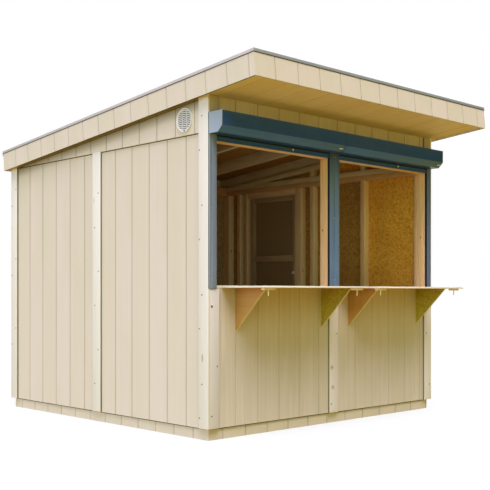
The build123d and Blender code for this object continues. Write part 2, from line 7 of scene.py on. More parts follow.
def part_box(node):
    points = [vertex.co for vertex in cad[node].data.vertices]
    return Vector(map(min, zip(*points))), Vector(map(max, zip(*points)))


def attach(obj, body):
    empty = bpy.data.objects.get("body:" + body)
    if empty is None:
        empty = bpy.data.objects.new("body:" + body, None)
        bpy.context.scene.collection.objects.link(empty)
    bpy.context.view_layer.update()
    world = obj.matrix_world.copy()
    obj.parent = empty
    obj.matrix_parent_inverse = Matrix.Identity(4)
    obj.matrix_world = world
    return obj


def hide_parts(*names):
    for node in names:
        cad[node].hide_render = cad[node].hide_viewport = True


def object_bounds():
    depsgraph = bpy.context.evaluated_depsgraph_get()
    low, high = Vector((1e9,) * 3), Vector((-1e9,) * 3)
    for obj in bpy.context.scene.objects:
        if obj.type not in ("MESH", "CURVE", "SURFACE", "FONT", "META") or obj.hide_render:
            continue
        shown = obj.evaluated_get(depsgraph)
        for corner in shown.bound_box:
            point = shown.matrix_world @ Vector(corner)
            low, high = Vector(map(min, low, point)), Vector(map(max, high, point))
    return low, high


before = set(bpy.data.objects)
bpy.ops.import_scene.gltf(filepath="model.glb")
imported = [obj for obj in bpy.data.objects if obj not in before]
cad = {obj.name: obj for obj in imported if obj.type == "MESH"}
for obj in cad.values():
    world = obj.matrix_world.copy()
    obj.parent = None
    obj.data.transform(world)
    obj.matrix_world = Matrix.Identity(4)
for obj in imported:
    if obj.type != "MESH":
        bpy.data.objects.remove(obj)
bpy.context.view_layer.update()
random.seed(11)

# measures read from the frame
xAxis, yAxis, zAxis = Vector((1, 0, 0)), Vector((0, 1, 0)), Vector((0, 0, 1))
trimLow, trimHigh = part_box("side_trims")
leftFace, rightFace = trimLow.x, trimHigh.x  # outer faces of the corner boards
frontFace, backFace = trimLow.y, trimHigh.y
footHeight = trimLow.z
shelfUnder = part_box("counter_shelves")[0].z
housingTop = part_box("shutter_housings")[1].z
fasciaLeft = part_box("end_fascias")[0].x
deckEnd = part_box("roof_deck")[1].y
ventLow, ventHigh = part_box("vent_grille")
ventMiddle = (ventLow + ventHigh) / 2
hair = 1e-5  # what lies closer than this touches

# the roof's slope, from the deck's top, and its lowest front edge, from the fascia
deckPoints = [point.co for point in cad["roof_deck"].data.vertices]
frontTop = max(co.z for co in deckPoints)
backTop = max(co.z for co in deckPoints if co.y > deckEnd - 0.01)
frontTopY = max(co.y for co in deckPoints if co.z > frontTop - hair)
backTopY = max(co.y for co in deckPoints if co.z > backTop - hair)
slope = math.atan2(frontTop - backTop, backTopY - frontTopY)
downSlope = Vector((0, math.cos(slope), -math.sin(slope)))
offSlope = Vector((0, math.sin(slope), math.cos(slope)))
fasciaPoints = [point.co for point in cad["end_fascias"].data.vertices]
eave = min(fasciaPoints, key=lambda co: (round(co.y, 5), co.z)).copy()
eave.x = 0


def onRoof(x, along, rise):  # a point from its place in the roof's own frame
    return eave + xAxis * x + downSlope * along + offSlope * rise


def roofPlace(point):  # how far down the slope a point is, and how far above the eave's edge
    gap = point - eave
    return gap.dot(downSlope), gap.dot(offSlope)


print("frame loaded:", len(cad), "nodes, roof at", round(math.degrees(slope), 2), "degrees")

# camera, lights and floor
camera = {
    "place": (-4.967, -5.706, 0.9586),
    "turn": -0.7822,
    "lens": 66.43,
    "shift": (-0.0704, 0.0966),
}
studio = {
    "skyColour": (0.14, 0.16, 0.20, 1),
    "groundColour": (0.520, 0.385, 0.055, 1),  # warm light thrown back up by the ground
    "horizon": (-0.04, 0.0),  # how far down the one blends into the other
    "floorColour": (0.16, 0.16, 0.16, 1),
    "floorGlow": 0.80,  # keeps the floor pale, with a faint shadow
    "floorSize": 400.0,
    "backdropRadius": 90.0,
}
roomLamp = {  # daylight let indoors
    "place": (-0.1, -0.5, 1.3),
    "size": 0.3,
    "power": 8.6,
    "colour": (0.40, 0.50, 0.68),
}
softLamps = (  # where each wide, distant lamp shines from, how wide it is in degrees, and its light
    {"name": "leftLow", "from": (-1.0, 0.05, 0.18), "width": 40, "light": (0.230, 0.276, 0.450)},
    {"name": "cornerLow", "from": (-0.75, -0.65, 0.15), "width": 40, "light": (0.140, 0.180, 0.080)},
    {"name": "cornerHigh", "from": (-0.5, -0.6, 1.3), "width": 40, "light": (0.790, 0.770, 0.980)},
    {"name": "overhead", "from": (0.0, -0.2, 1.0), "width": 50, "light": (0.560, 0.560, 0.600)},
    {"name": "farSide", "from": (0.72, 0.68, 0.30), "width": 60, "light": (0.430, 0.490, 0.640)},
)


def linked(name, data):  # a new object, put into the scene
    made = bpy.data.objects.new(name, data)
    bpy.context.scene.collection.objects.link(made)
    return made


cameraData = bpy.data.cameras.new("camera")
cameraData.lens = camera["lens"]
cameraData.shift_x, cameraData.shift_y = camera["shift"]
cameraObject = linked("camera", cameraData)
cameraObject.location = camera["place"]
cameraObject.rotation_euler = (math.pi / 2, 0, camera["turn"])
bpy.context.scene.camera = cameraObject
bpy.context.scene.view_settings.view_transform = "Standard"

roomLight = bpy.data.lights.new("roomLight", "POINT")
roomLight.energy = roomLamp["power"]
roomLight.color = roomLamp["colour"]
roomLight.shadow_soft_size = roomLamp["size"]
roomLightObject = linked("roomLight", roomLight)
roomLightObject.location = roomLamp["place"]
roomLightObject.visible_camera = False
roomLightObject.visible_glossy = False

for lamp in softLamps:
    light = bpy.data.lights.new(lamp["name"], "SUN")
    brightest = max(lamp["light"])
    light.energy = math.pi * brightest
    light.color = [part / brightest for part in lamp["light"]]
    light.angle = math.radians(lamp["width"])
    linked(lamp["name"], light).rotation_euler = Vector(lamp["from"]).to_track_quat("Z", "Y").to_euler()


class Wire:  # one value inside a finish, with arithmetic
    def __init__(self, finish, socket):
        self.finish = finish
        self.socket = socket

    def sums(self, operation, first, second=0.0):
        return self.finish.node("ShaderNodeMath", {"operation": operation}, {0: first, 1: second})

    def __add__(self, other):
        return self.sums("ADD", self, other)

    def __sub__(self, other):
        return self.sums("SUBTRACT", self, other)

    def __mul__(self, other):
        return self.sums("MULTIPLY", self, other)

    def __truediv__(self, other):
        return self.sums("DIVIDE", self, other)

    def __rsub__(self, other):
        return self.sums("SUBTRACT", other, self)

    __radd__ = __add__
    __rmul__ = __mul__

    def above(self, level, softness):  # 0 below the level, 1 above it
        settings = {"interpolation_type": "SMOOTHSTEP", "clamp": True}
        ends = {"Value": self, "From Min": level - softness / 2, "From Max": level + softness / 2}
        return self.finish.node("ShaderNodeMapRange", settings, ends)

    def below(self, level, softness):
        return 1 - self.above(level, softness)

    def size(self):
        return self.sums("ABSOLUTE", self)

    def floor(self):
        return self.sums("FLOOR", self)

    def wave(self):
        return self.sums("SINE", self)


class Finish:  # a material and the nodes that colour it
    def __init__(self, name, colour, roughness, metallic=0.0, shine=0.3):
        self.material = bpy.data.materials.new(name)
        self.material.use_nodes = True
        self.tree = self.material.node_tree
        self.shader = self.tree.nodes["Principled BSDF"]
        self.set("Base Color", colour)
        self.set("Roughness", roughness)
        self.set("Metallic", metallic)
        self.set("Specular IOR Level", shine)
        self.material.diffuse_color = colour

    def node(self, kind, settings=None, inputs=None, out=0):
        made = self.tree.nodes.new(kind)
        for key, value in (settings or {}).items():
            if key == "stops":
                ramp = made.color_ramp
                while len(ramp.elements) < len(value):
                    ramp.elements.new(0.5)
                for element, (place, colour) in zip(ramp.elements, value):
                    element.position = place
                    element.color = colour
            else:
                setattr(made, key, value)
        for key, value in (inputs or {}).items():
            self.feed(made.inputs[key], value)
        return Wire(self, made.outputs[out])

    def feed(self, socket, value):
        if isinstance(value, Wire):
            self.tree.links.new(value.socket, socket)
        else:
            socket.default_value = value

    def set(self, socket, value):
        self.feed(self.shader.inputs[socket], value)

    def grain(self):  # the board's own place: across, through, along the fibres
        return self.node("ShaderNodeAttribute", {"attribute_name": "grain"}, out="Vector")

    def tone(self):  # one number for each board
        return self.node("ShaderNodeAttribute", {"attribute_name": "tone"}, out="Fac")

    def place(self):
        return self.node("ShaderNodeTexCoord", out="Object")

    def parts(self, vector):
        split = self.node("ShaderNodeSeparateXYZ", None, {0: vector}).socket.node
        return [Wire(self, output) for output in split.outputs]

    def joined(self, x, y, z):
        return self.node("ShaderNodeCombineXYZ", None, {0: x, 1: y, 2: z})

    def vectors(self, operation, *values, out="Vector"):
        return self.node("ShaderNodeVectorMath", {"operation": operation}, dict(enumerate(values)), out)

    def stretched(self, vector, scale, shift=(0, 0, 0)):
        return self.vectors("MULTIPLY_ADD", vector, scale, shift)

    def turned(self, vector, degrees):
        inputs = {"Vector": vector, "Angle": math.radians(degrees)}
        return self.node("ShaderNodeVectorRotate", {"rotation_type": "Y_AXIS"}, inputs)

    def noise(self, vector, scale, detail, shift=(0, 0, 0)):
        place = self.stretched(vector, scale, shift)
        inputs = {"Vector": place, "Scale": 1.0, "Detail": detail, "Roughness": 0.55}
        return self.node("ShaderNodeTexNoise", None, inputs, "Fac")

    def cells(self, vector, out="Distance", feature="F1"):
        return self.node("ShaderNodeTexVoronoi", {"feature": feature}, {"Vector": vector, "Scale": 1.0}, out)

    def randomOf(self, value):
        return self.node("ShaderNodeTexWhiteNoise", {"noise_dimensions": "1D"}, {"W": value}, "Value")

    def mixed(self, factor, first, second):
        return self.node("ShaderNodeMix", {"data_type": "RGBA"}, {0: factor, 6: first, 7: second}, 2)

    def ramp(self, value, *stops):
        return self.node("ShaderNodeValToRGB", {"stops": stops}, {"Fac": value})

    def bumped(self, height, distance, strength):
        inputs = {"Height": height, "Distance": distance, "Strength": strength}
        return self.node("ShaderNodeBump", None, inputs)

    def surface(self, colour, height, distance, strength):  # the last step of every finish
        self.set("Base Color", colour)
        self.set("Normal", self.bumped(height, distance, strength))
        return self


# world: dim above, the ground's colour below; a white shell behind everything is all the camera sees of it
world = bpy.data.worlds.new("studio")
bpy.context.scene.world = world
world.use_nodes = True
sky = world.node_tree
direction = sky.nodes.new("ShaderNodeTexCoord")
height = sky.nodes.new("ShaderNodeSeparateXYZ")
blend = sky.nodes.new("ShaderNodeMapRange")
blend.inputs["From Min"].default_value, blend.inputs["From Max"].default_value = studio["horizon"]
paint = sky.nodes.new("ShaderNodeMix")
paint.data_type = "RGBA"
paint.inputs[6].default_value = studio["groundColour"]
paint.inputs[7].default_value = studio["skyColour"]
sky.links.new(direction.outputs["Generated"], height.inputs[0])
sky.links.new(height.outputs["Z"], blend.inputs["Value"])
sky.links.new(blend.outputs["Result"], paint.inputs[0])
sky.links.new(paint.outputs[2], sky.nodes["Background"].inputs["Color"])


def stagePaper(name, paper, colour, roughness, glow):  # the new primitive becomes paper that lights nothing
    staged = bpy.context.active_object
    staged.name = name
    finish = Finish(paper, colour, roughness, shine=0.0)
    finish.set("Emission Color", (1, 1, 1, 1))
    finish.set("Emission Strength", glow)
    staged.data.materials.append(finish.material)
    for ray in ("diffuse", "glossy", "transmission", "shadow"):
        setattr(staged, "visible_" + ray, False)


bpy.ops.mesh.primitive_plane_add(size=studio["floorSize"], location=(0, 0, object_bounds()[0].z))
stagePaper("studioFloor", "floorPaper", studio["floorColour"], 0.9, studio["floorGlow"])
bpy.ops.mesh.primitive_uv_sphere_add(segments=32, ring_count=16, radius=studio["backdropRadius"])
stagePaper("studioBackdrop", "backdropPaper", (0, 0, 0, 1), 1.0, 1.0)
print("camera, lights and floor made")


def rgba(colour):  # a colour picked on screen, as the shaders want it
    parts = [part / 255 for part in colour]
    return (*(part / 12.92 if part <= 0.04045 else ((part + 0.055) / 1.055) ** 2.4 for part in parts), 1)


# siding: patches to the metre across, through and along the planks, and how strongly each is seen
siding = {
    "pitch": 0.2026,  # from groove to groove
    "soft": (26, 26, 0.9),
    "fine": (190, 190, 7.0),
    "cloud": (5, 5, 1.3),
    "thinRun": (52, 52, 1.9),
    "broadRun": (17, 17, 1.1),
    "runShade": rgba((200, 188, 156)),
    "runPale": rgba((244, 234, 216)),
    # painted shade: the colour that darkens the grooves and the bands under ledges
    "paintedShade": rgba((130, 116, 80)),
    "shadeReach": 0.0044,  # from a groove's middle
}


def sidingFinish(name, pale, streak, shade, runs, grooveShare, shadeBand=None):
    # smooth primed siding: soft streaks and water runs down each plank, with painted shade in the grooves
    pale, streak, shade = rgba(pale), rgba(streak), rgba(shade)
    finish = Finish(name, pale, 0.62)
    grain = finish.grain()
    across = finish.parts(grain)[0]
    plank = (across / siding["pitch"]).floor()  # the grooves lie at whole numbers of the pitch
    groove = (across / siding["pitch"] + 0.5).floor()
    soft = finish.noise(grain, siding["soft"], 2.0)
    fine = finish.noise(grain, siding["fine"], 3.0)
    cloud = finish.noise(grain, siding["cloud"], 2.0, (3, 1, 7))
    plankTone = finish.randomOf(plank + 0.37)
    colour = finish.mixed(soft.above(0.56, 0.36) * 0.35 + plankTone * 0.6, pale, streak)
    colour = finish.mixed(cloud.above(0.58, 0.4) * 0.5, colour, shade)
    if runs:
        thin = finish.noise(grain, siding["thinRun"], 2.0, (2, 6, 4))
        broad = finish.noise(grain, siding["broadRun"], 2.0, (8, 3, 5))
        colour = finish.mixed(thin.above(0.60, 0.10) * runs, colour, siding["runShade"])
        colour = finish.mixed(broad.above(0.57, 0.14) * (runs * 0.7), colour, siding["runShade"])
        colour = finish.mixed(thin.below(0.36, 0.06) * runs, colour, siding["runPale"])
    fromGroove = (across - groove * siding["pitch"]).size()
    colour = finish.mixed(fromGroove.below(siding["shadeReach"], 0.002) * grooveShare, colour, siding["paintedShade"])
    if shadeBand:  # painted shade in a band under a ledge
        way, rise, softness, share = shadeBand
        reach = finish.vectors("DOT_PRODUCT", finish.place(), way, out="Value")
        colour = finish.mixed(reach.above(rise - softness / 2, softness) * share, colour, siding["paintedShade"])
    return finish.surface(colour, fine * 0.6 + soft * 0.4, 0.0006, 0.5)


knotHeart = rgba((96, 64, 44))


def boardFinish(name, pale, streak, knot, knotShare, spots=()):
    # planed boards under a thin pale stain: straight fibres, a few small knots
    pale, streak, knot = rgba(pale), rgba(streak), rgba(knot)
    finish = Finish(name, pale, 0.58)
    grain = finish.grain()
    warp = finish.noise(grain, (7, 7, 1.6), 1.0)
    bent = finish.vectors("ADD", grain, finish.joined(warp * 0.02, 0, 0))
    fibre = finish.noise(bent, (120, 120, 2.2), 3.0)
    soft = finish.noise(bent, (22, 22, 0.8), 2.0)
    colour = finish.mixed(fibre.above(0.55, 0.4) * 0.45 + finish.tone() * 0.35, pale, streak)
    colour = finish.mixed(soft.above(0.6, 0.3) * 0.3, colour, streak)
    knots = finish.cells(finish.stretched(grain, (9, 9, 2.6)))
    colour = finish.mixed(knots.below(0.07, 0.05) * knotShare, colour, knot)
    for spot in spots:  # single knots at known places, with a darker heart
        away = finish.vectors("DISTANCE", finish.place(), spot, out="Value")
        colour = finish.mixed(away.below(0.017, 0.010) * 0.35, colour, knot)
        colour = finish.mixed(away.below(0.0055, 0.004) * 0.45, colour, knotHeart)
    return finish.surface(colour, fibre, 0.0004, 0.6)


def timberFinish(name, pale, dark, knot):
    # bare framing timber: wide growth bands, fine fibres and dark knots
    pale, dark, knot = rgba(pale), rgba(dark), rgba(knot)
    finish = Finish(name, pale, 0.66, shine=0.2)
    grain = finish.grain()
    knots = finish.cells(finish.stretched(grain, (11, 11, 3.2)))
    warp = finish.noise(grain, (9, 9, 1.8), 1.0)
    across, through, along = finish.parts(grain)
    band = ((across * 7 + through * 11 + warp * 3.2) * 9).wave() * 0.5 + 0.5
    fibre = finish.noise(grain, (150, 150, 3.0), 3.0)
    colour = finish.mixed(band * 0.4 + fibre * 0.35 + finish.tone() * 0.3, pale, dark)
    colour = finish.mixed(knots.below(0.11, 0.08) * 0.6, colour, dark)
    colour = finish.mixed(knots.below(0.055, 0.03) * 0.85, colour, knot)
    return finish.surface(colour, fibre + band * 0.3, 0.0004, 0.6)


flakes = {
    "perMetre": (140, 120, 40),
    "layers": ((8, 0.0), (62, 3.7), (-48, 8.1)),  # each layer's angle and shift
}


def flakeFinish(name, pale, middle, dark):
    # pressed flakes: three layers of long cells laid at different angles
    pale, middle, dark = rgba(pale), rgba(middle), rgba(dark)
    finish = Finish(name, middle, 0.6, shine=0.25)
    where = finish.grain()
    colour, height = None, None
    for angle, shift in flakes["layers"]:
        flat = finish.stretched(finish.turned(where, angle), flakes["perMetre"], (shift, 0, shift))
        lot, chance = finish.parts(finish.cells(flat, "Color"))[:2]
        edge = finish.cells(flat, "Distance", "DISTANCE_TO_EDGE").below(0.05, 0.08)
        layer = finish.ramp(lot, (0.0, dark), (0.45, middle), (1.0, pale))
        layer = finish.mixed(edge * 0.45, layer, dark)
        if colour is None:
            colour, height = layer, lot
        else:
            top = chance.above(0.55, 0.02)
            colour = finish.mixed(top, colour, layer)
            height = height * (1 - top) + (lot + 0.4) * top
    wash = finish.noise(where, (3, 3, 3), 2.0)
    colour = finish.mixed(wash.above(0.5, 0.5) * 0.3, colour, dark)
    return finish.surface(colour, height, 0.0008, 0.5)


# painted shade under the housings
housingShade = rgba((20, 34, 44))


def metalFinish(name, colour, worn, roughness, metallic=0.0, shine=0.5, shadedTop=None):
    # painted or plated metal: faint handling marks, slightly uneven gloss
    colour, worn = rgba(colour), rgba(worn)
    finish = Finish(name, colour, roughness, metallic, shine)
    where = finish.place()
    cloud = finish.noise(where, (9, 9, 9), 3.0)
    speck = finish.noise(where, (420, 420, 420), 1.0)
    coat = finish.mixed(cloud.above(0.55, 0.4) * 0.45, colour, worn)
    if shadedTop:  # painted shade, darker towards the top
        height, softness, share = shadedTop
        coat = finish.mixed(finish.parts(where)[2].above(height, softness) * share, coat, housingShade)
    finish.set("Roughness", cloud * 0.16 + (roughness - 0.08))
    return finish.surface(coat, speck, 0.0002, 0.25)


underShelf = (zAxis, shelfUnder, 0.34, 0.22)  # bands of painted shade: the way up, its top, its softness and its share
underEave = (offSlope, eave.dot(offSlope), 0.09, 0.8)
sidingLooks = {  # pale, streak and shade, then the water runs' strength, the painted shade in the grooves and any band of painted shade
    "sidingPaint": ((231, 215, 196), (224, 211, 184), (219, 209, 180), 0.0, 0.4),
    "frontPaint": ((230, 216, 199), (223, 210, 186), (217, 207, 181), 0.24, 0.3, underShelf),
    # the strip over the windows and the soffit take warmer copies of the siding paint, as painted light
    "stripPaint": ((240, 221, 186), (232, 210, 168), (226, 205, 158), 0.2, 0.5),
    "soffitPaint": ((245, 221, 184), (238, 210, 167), (236, 207, 162), 0.0, 0.2),
    "wallPaint": ((232, 216, 197), (225, 212, 185), (220, 210, 181), 0.0, 0.5, underEave),
}
middleKnots = [(leftFace + across, frontFace, height) for across, height in ((1.188, 0.408), (1.197, 0.262))]
boardLooks = {  # pale, streak and knot, then how clearly the knots show
    "coverPaint": ((245, 237, 223), (236, 225, 206), (150, 112, 72), 0.5),
    "frontCover": ((246, 239, 236), (238, 228, 220), (168, 124, 96), 0.2, middleKnots),
    # the corner board's front and the narrow board faces take darker copies, as painted shade
    "cornerPaint": ((230, 223, 216), (221, 211, 199), (150, 112, 72), 0.3),
    "cornerTop": ((204, 188, 155), (194, 176, 140), (150, 112, 72), 0.2),
    "boardEdge": ((132, 128, 94), (116, 110, 76), (96, 76, 50), 0.3),
    "shelfPaint": ((238, 228, 206), (230, 216, 188), (160, 124, 80), 0.2),
    "shelfTop": ((206, 194, 168), (196, 182, 152), (160, 124, 80), 0.2),
    "shelfLip": ((254, 246, 228), (246, 233, 208), (200, 170, 130), 0.1),
    "bracketTan": ((198, 151, 81), (183, 131, 64), (140, 90, 46), 0.2),
    "doorBrown": ((149, 122, 85), (136, 111, 76), (92, 67, 41), 0.1),
    "pegWood": ((252, 246, 226), (244, 234, 204), (200, 170, 120), 0.1),
}
timberLooks = {  # pale, dark and knot
    # the copies after framing are lighter and darker versions of the same pine, as painted light and shade
    # where each part stands
    "framing": ((236, 202, 154), (220, 176, 120), (130, 84, 44)),
    "studEdge": ((255, 236, 186), (248, 214, 156), (150, 100, 56)),
    "postPine": ((255, 217, 164), (246, 190, 126), (150, 96, 50)),
    "platePine": ((214, 170, 112), (196, 148, 90), (116, 74, 38)),
    "atticPine": ((221, 202, 154), (203, 178, 122), (121, 82, 45)),
    "doorPine": ((182, 157, 122), (166, 137, 99), (121, 80, 48)),
}
flakeLooks = {  # pale, middle and dark flakes
    "flakeBoard": ((250, 198, 84), (243, 174, 62), (190, 122, 33)),
    "flakeShade": ((200, 155, 80), (182, 135, 62), (142, 98, 40)),
    "flakeOld": ((206, 186, 136), (186, 164, 112), (150, 126, 80)),
    "bracketFlake": ((202, 194, 88), (184, 170, 64), (160, 140, 46)),
}
metalLooks = {  # colour, worn colour and roughness, then how metallic and shiny it is, and where painted shade darkens its top
    "shutterPaint": ((38, 80, 136), (45, 90, 146), 0.42),
    "barPaint": ((52, 94, 150), (60, 104, 160), 0.42),
    "chamferPaint": ((59, 108, 176), (67, 118, 185), 0.42),
    "guidePaint": ((110, 136, 166), (120, 146, 174), 0.4, 0.0, 0.5, (1.86, 0.32, 0.6)),
    "endGuidePaint": ((106, 120, 152), (116, 130, 160), 0.4),
    "fadedGuidePaint": ((130, 142, 158), (138, 150, 164), 0.42),
    "capPaint": ((163, 176, 187), (173, 183, 192), 0.4),
    "packingGrey": ((112, 114, 114), (96, 98, 98), 0.6),
    "darkSeal": ((10, 11, 16), (18, 20, 26), 0.7),
    "edgeMetal": ((196, 187, 180), (206, 198, 192), 0.6),
    "edgeFront": ((142, 146, 138), (152, 155, 148), 0.6),
    "edgeShade": ((84, 76, 70), (94, 88, 82), 0.6),
    "eaveShade": ((104, 94, 66), (92, 82, 56), 0.8, 0.0, 0.1),
    # painted shade for the strips where panels lap, and the dark colour of some screw heads
    "lapShade": ((70, 62, 40), (60, 52, 34), 0.8, 0.0, 0.1),
    "roofSheet": ((88, 90, 93), (108, 109, 110), 0.85, 0.0, 0.2),
    "zincPlate": ((176, 174, 160), (150, 148, 138), 0.38, 0.6),
    "brightKnob": ((255, 252, 244), (246, 242, 232), 0.3),
    "screwZinc": ((70, 64, 60), (56, 50, 48), 0.6),
    "ventPlastic": ((238, 236, 232), (226, 224, 218), 0.5),
    "ventMesh": ((60, 62, 68), (50, 52, 58), 0.7),
    "palePlug": ((250, 242, 204), (240, 230, 186), 0.5),
}
finishes = {}
for makeFinish, looks in ((sidingFinish, sidingLooks), (boardFinish, boardLooks), (timberFinish, timberLooks),
                          (flakeFinish, flakeLooks), (metalFinish, metalLooks)):
    for name, look in looks.items():
        finishes[name] = makeFinish(name, *look)
print("finishes made:", len(finishes))

# helpers for modelling
merging = {"gap": 0.00002, "bend": 0.3}  # triangles become whole faces within these, the bend in degrees
smoothUnder = 32  # edges that bend less than this, in degrees, are shaded smooth


def alone(piece):
    bpy.ops.object.select_all(action="DESELECT")
    piece.select_set(True)
    bpy.context.view_layer.objects.active = piece


def settle(piece):  # puts the piece's place into its mesh
    alone(piece)
    bpy.ops.object.transform_apply(location=True, rotation=True, scale=True)


def facing(way, least=0.9):  # a test for faces that look this way
    return lambda centre, normal: normal.dot(way) > least


def pick(piece, test, kind="FACE"):  # opens edit mode with the parts selected that pass the test
    alone(piece)
    bpy.ops.object.mode_set(mode="EDIT")
    bpy.ops.mesh.select_mode(type=kind)
    bpy.ops.mesh.select_all(action="DESELECT")
    bpy.ops.object.mode_set(mode="OBJECT")
    mesh = piece.data
    if kind == "FACE":
        for face in mesh.polygons:
            face.select = test(face.center, face.normal)
    elif kind == "EDGE":
        for edge in mesh.edges:
            first, second = (mesh.vertices[i].co for i in edge.vertices)
            edge.select = test((first + second) / 2, (second - first).normalized())
    else:
        for point in mesh.vertices:
            point.select = test(point.co)
    bpy.ops.object.mode_set(mode="EDIT")


def editAll(piece):
    alone(piece)
    bpy.ops.object.mode_set(mode="EDIT")
    bpy.ops.mesh.select_mode(type="VERT")
    bpy.ops.mesh.select_all(action="SELECT")


def done():
    bpy.ops.object.mode_set(mode="OBJECT")


def cut(piece, point, normal, **sides):  # cuts along a plane; sides says what is cleared or filled
    editAll(piece)
    bpy.ops.mesh.bisect(plane_co=point, plane_no=normal, **sides)
    done()


def pressIn(piece, test, rim, bend, depth):  # sinks the picked faces inside a rim
    pick(piece, test)
    bpy.ops.mesh.inset(thickness=rim)
    bpy.ops.mesh.inset(thickness=bend, depth=-depth)
    done()


def pullOut(value):  # extrudes what is picked
    bpy.ops.mesh.extrude_region_move(TRANSFORM_OT_translate={"value": value})
    done()


def addModifier(piece, kind, **settings):
    alone(piece)
    modifier = piece.modifiers.new(kind.lower(), kind)
    for key, value in settings.items():
        setattr(modifier, key, value)
    bpy.ops.object.modifier_apply(modifier=modifier.name)


def ease(piece, width, segments=2, angle=35):
    addModifier(piece, "BEVEL", width=width, segments=segments, limit_method="ANGLE",
                angle_limit=math.radians(angle))
    alone(piece)
    bpy.ops.object.shade_smooth_by_angle(angle=math.radians(smoothUnder))


def takeAway(piece, cutter):
    addModifier(piece, "BOOLEAN", operation="DIFFERENCE", object=cutter, solver="EXACT")
    bpy.data.objects.remove(cutter)


def startBox(name, low, high):
    bpy.ops.object.select_all(action="DESELECT")
    middle = [(a + b) / 2 for a, b in zip(low, high)]
    bpy.ops.mesh.primitive_cube_add(size=1, location=middle, scale=[b - a for a, b in zip(low, high)])
    piece = bpy.context.active_object
    piece.name = name
    settle(piece)
    return piece


def easedBox(name, low, high, width, segments=2):
    piece = startBox(name, low, high)
    ease(piece, width, segments)
    return piece


def startRound(name, radius, length, middle, axis, corners):
    bpy.ops.object.select_all(action="DESELECT")
    bpy.ops.mesh.primitive_cylinder_add(vertices=corners, radius=radius, depth=length, location=middle)
    piece = bpy.context.active_object
    piece.name = name
    piece.rotation_euler = Vector(axis).to_track_quat("Z", "Y").to_euler()
    settle(piece)
    return piece


def copyOf(piece, name="copy"):
    return linked(name, piece.data.copy())


def mergedCopy(node, name="copy", flatten=True):  # a node's loose triangles, joined up
    piece = copyOf(cad[node], name)
    editAll(piece)
    bpy.ops.mesh.remove_doubles(threshold=merging["gap"])
    if flatten:
        bpy.ops.mesh.dissolve_limited(angle_limit=math.radians(merging["bend"]))
    done()
    return piece


def join(name, parts):
    bpy.ops.object.select_all(action="DESELECT")
    for part in parts:
        part.select_set(True)
    bpy.context.view_layer.objects.active = parts[0]
    if len(parts) > 1:
        bpy.ops.object.join()
    parts[0].name = name
    return parts[0]


def finishPiece(name, parts, nodes, looks, choose=None, body="kiosk"):
    # joins the parts into one piece; choose picks a look's number by a face's place and direction
    piece = join(name, parts)
    piece.data.materials.clear()
    for look in looks:
        piece.data.materials.append(finishes[look].material)
    for face in piece.data.polygons:
        face.material_index = int(choose(face.center, face.normal)) if choose else 0
    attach(piece, body)
    if nodes:
        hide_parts(*nodes)


def islands(piece):  # the separate boards of a mesh, as lists of point numbers
    leader = list(range(len(piece.data.vertices)))

    def top(i):
        while leader[i] != i:
            leader[i] = leader[leader[i]]
            i = leader[i]
        return i

    for edge in piece.data.edges:
        a, b = top(edge.vertices[0]), top(edge.vertices[1])
        leader[max(a, b)] = min(a, b)
    groups = {}
    for i in range(len(leader)):
        groups.setdefault(top(i), []).append(i)
    return [groups[key] for key in sorted(groups)]


def limits(places):  # the lowest and highest of each coordinate
    return [(min(part), max(part)) for part in zip(*places)]


def boardPoints(node):  # the points of each board in a node
    source = mergedCopy(node, flatten=False)
    boards = [[source.data.vertices[i].co.copy() for i in group] for group in islands(source)]
    bpy.data.meshes.remove(source.data)  # takes the object with it
    return boards


def boardBoxes(node):  # the low and high corner of each board
    return [[Vector(corner) for corner in zip(*limits(points))] for points in boardPoints(node)]


def roofBoxes(node):  # each board's limits in the roof's own frame: X, down the slope, square to it
    return [limits([(co.x, *roofPlace(co)) for co in points]) for points in boardPoints(node)]


def outerFace(low, high):  # the side that a thin board stands on, its direction and its outer face's place
    size = high - low
    if size.x > size.y:
        return ("front", -1, low.y) if low.y < 0 else ("back", 1, high.y)
    return ("left", -1, low.x) if low.x < 0 else ("right", 1, high.x)


def grainLayers(piece):  # both are made before either is fetched, since making one moves the other
    piece.data.attributes.new("grain", "FLOAT_VECTOR", "POINT")
    piece.data.attributes.new("tone", "FLOAT", "POINT")
    return piece.data.attributes["grain"].data, piece.data.attributes["tone"].data


grainRoom = 9  # boards start at random places this far apart in the grain


def markGrain(piece):  # each board's own place, with its fibres along its longest side
    points = piece.data.vertices
    grain, tone = grainLayers(piece)
    for group in islands(piece):
        extent = [high - low for low, high in limits([points[i].co for i in group])]
        along = extent.index(max(extent))
        shift = Vector([random.uniform(0, grainRoom) for part in range(3)])
        boardTone = random.random()
        for i in group:
            co = points[i].co
            grain[i].vector = Vector((co[(along + 1) % 3], co[(along + 2) % 3], co[along])) + shift
            tone[i].value = boardTone


def easedBoards(node, width, slot, *looks, body="kiosk", choose=None, segments=2, level=None):
    # a copy of a framed node, with every arris eased and every board given its own grain
    piece = mergedCopy(node, node + "_boards")
    if level:  # a line round the boards where their finish changes
        cut(piece, (0, 0, level), zAxis)
    ease(piece, width, segments)
    markGrain(piece)
    finishPiece(node + "_boards", [piece], [node], looks, choose, body)


# grooved siding
groove = {
    "mouth": 0.0072,
    "floor": 0.0040,
    "depth": 0.0036,
    "soffitDepth": 0.0014,
    "softDepth": 0.0026,  # where the siding faces the light
}
firstGrooves = {  # from the front or left outer face
    "side": 0.241,
    "gable": 0.138,
    "front": 0.252,
    "sidePlinth": 0.183,
    "frontPlinth": 0.150,
    "sideFascia": 0.050,  # from the front end of the fascia
    "frontFascia": 0.175,  # from the left end of the fascia
    "soffit": 0.130,
}
litUntil = 0.7  # how far from the front the flake board inside keeps its own colour; further back it takes a darker copy, as painted shade
stripFrom = 2.0  # siding above this height, over the windows, takes a warmer copy of the paint, as painted light from the soffit
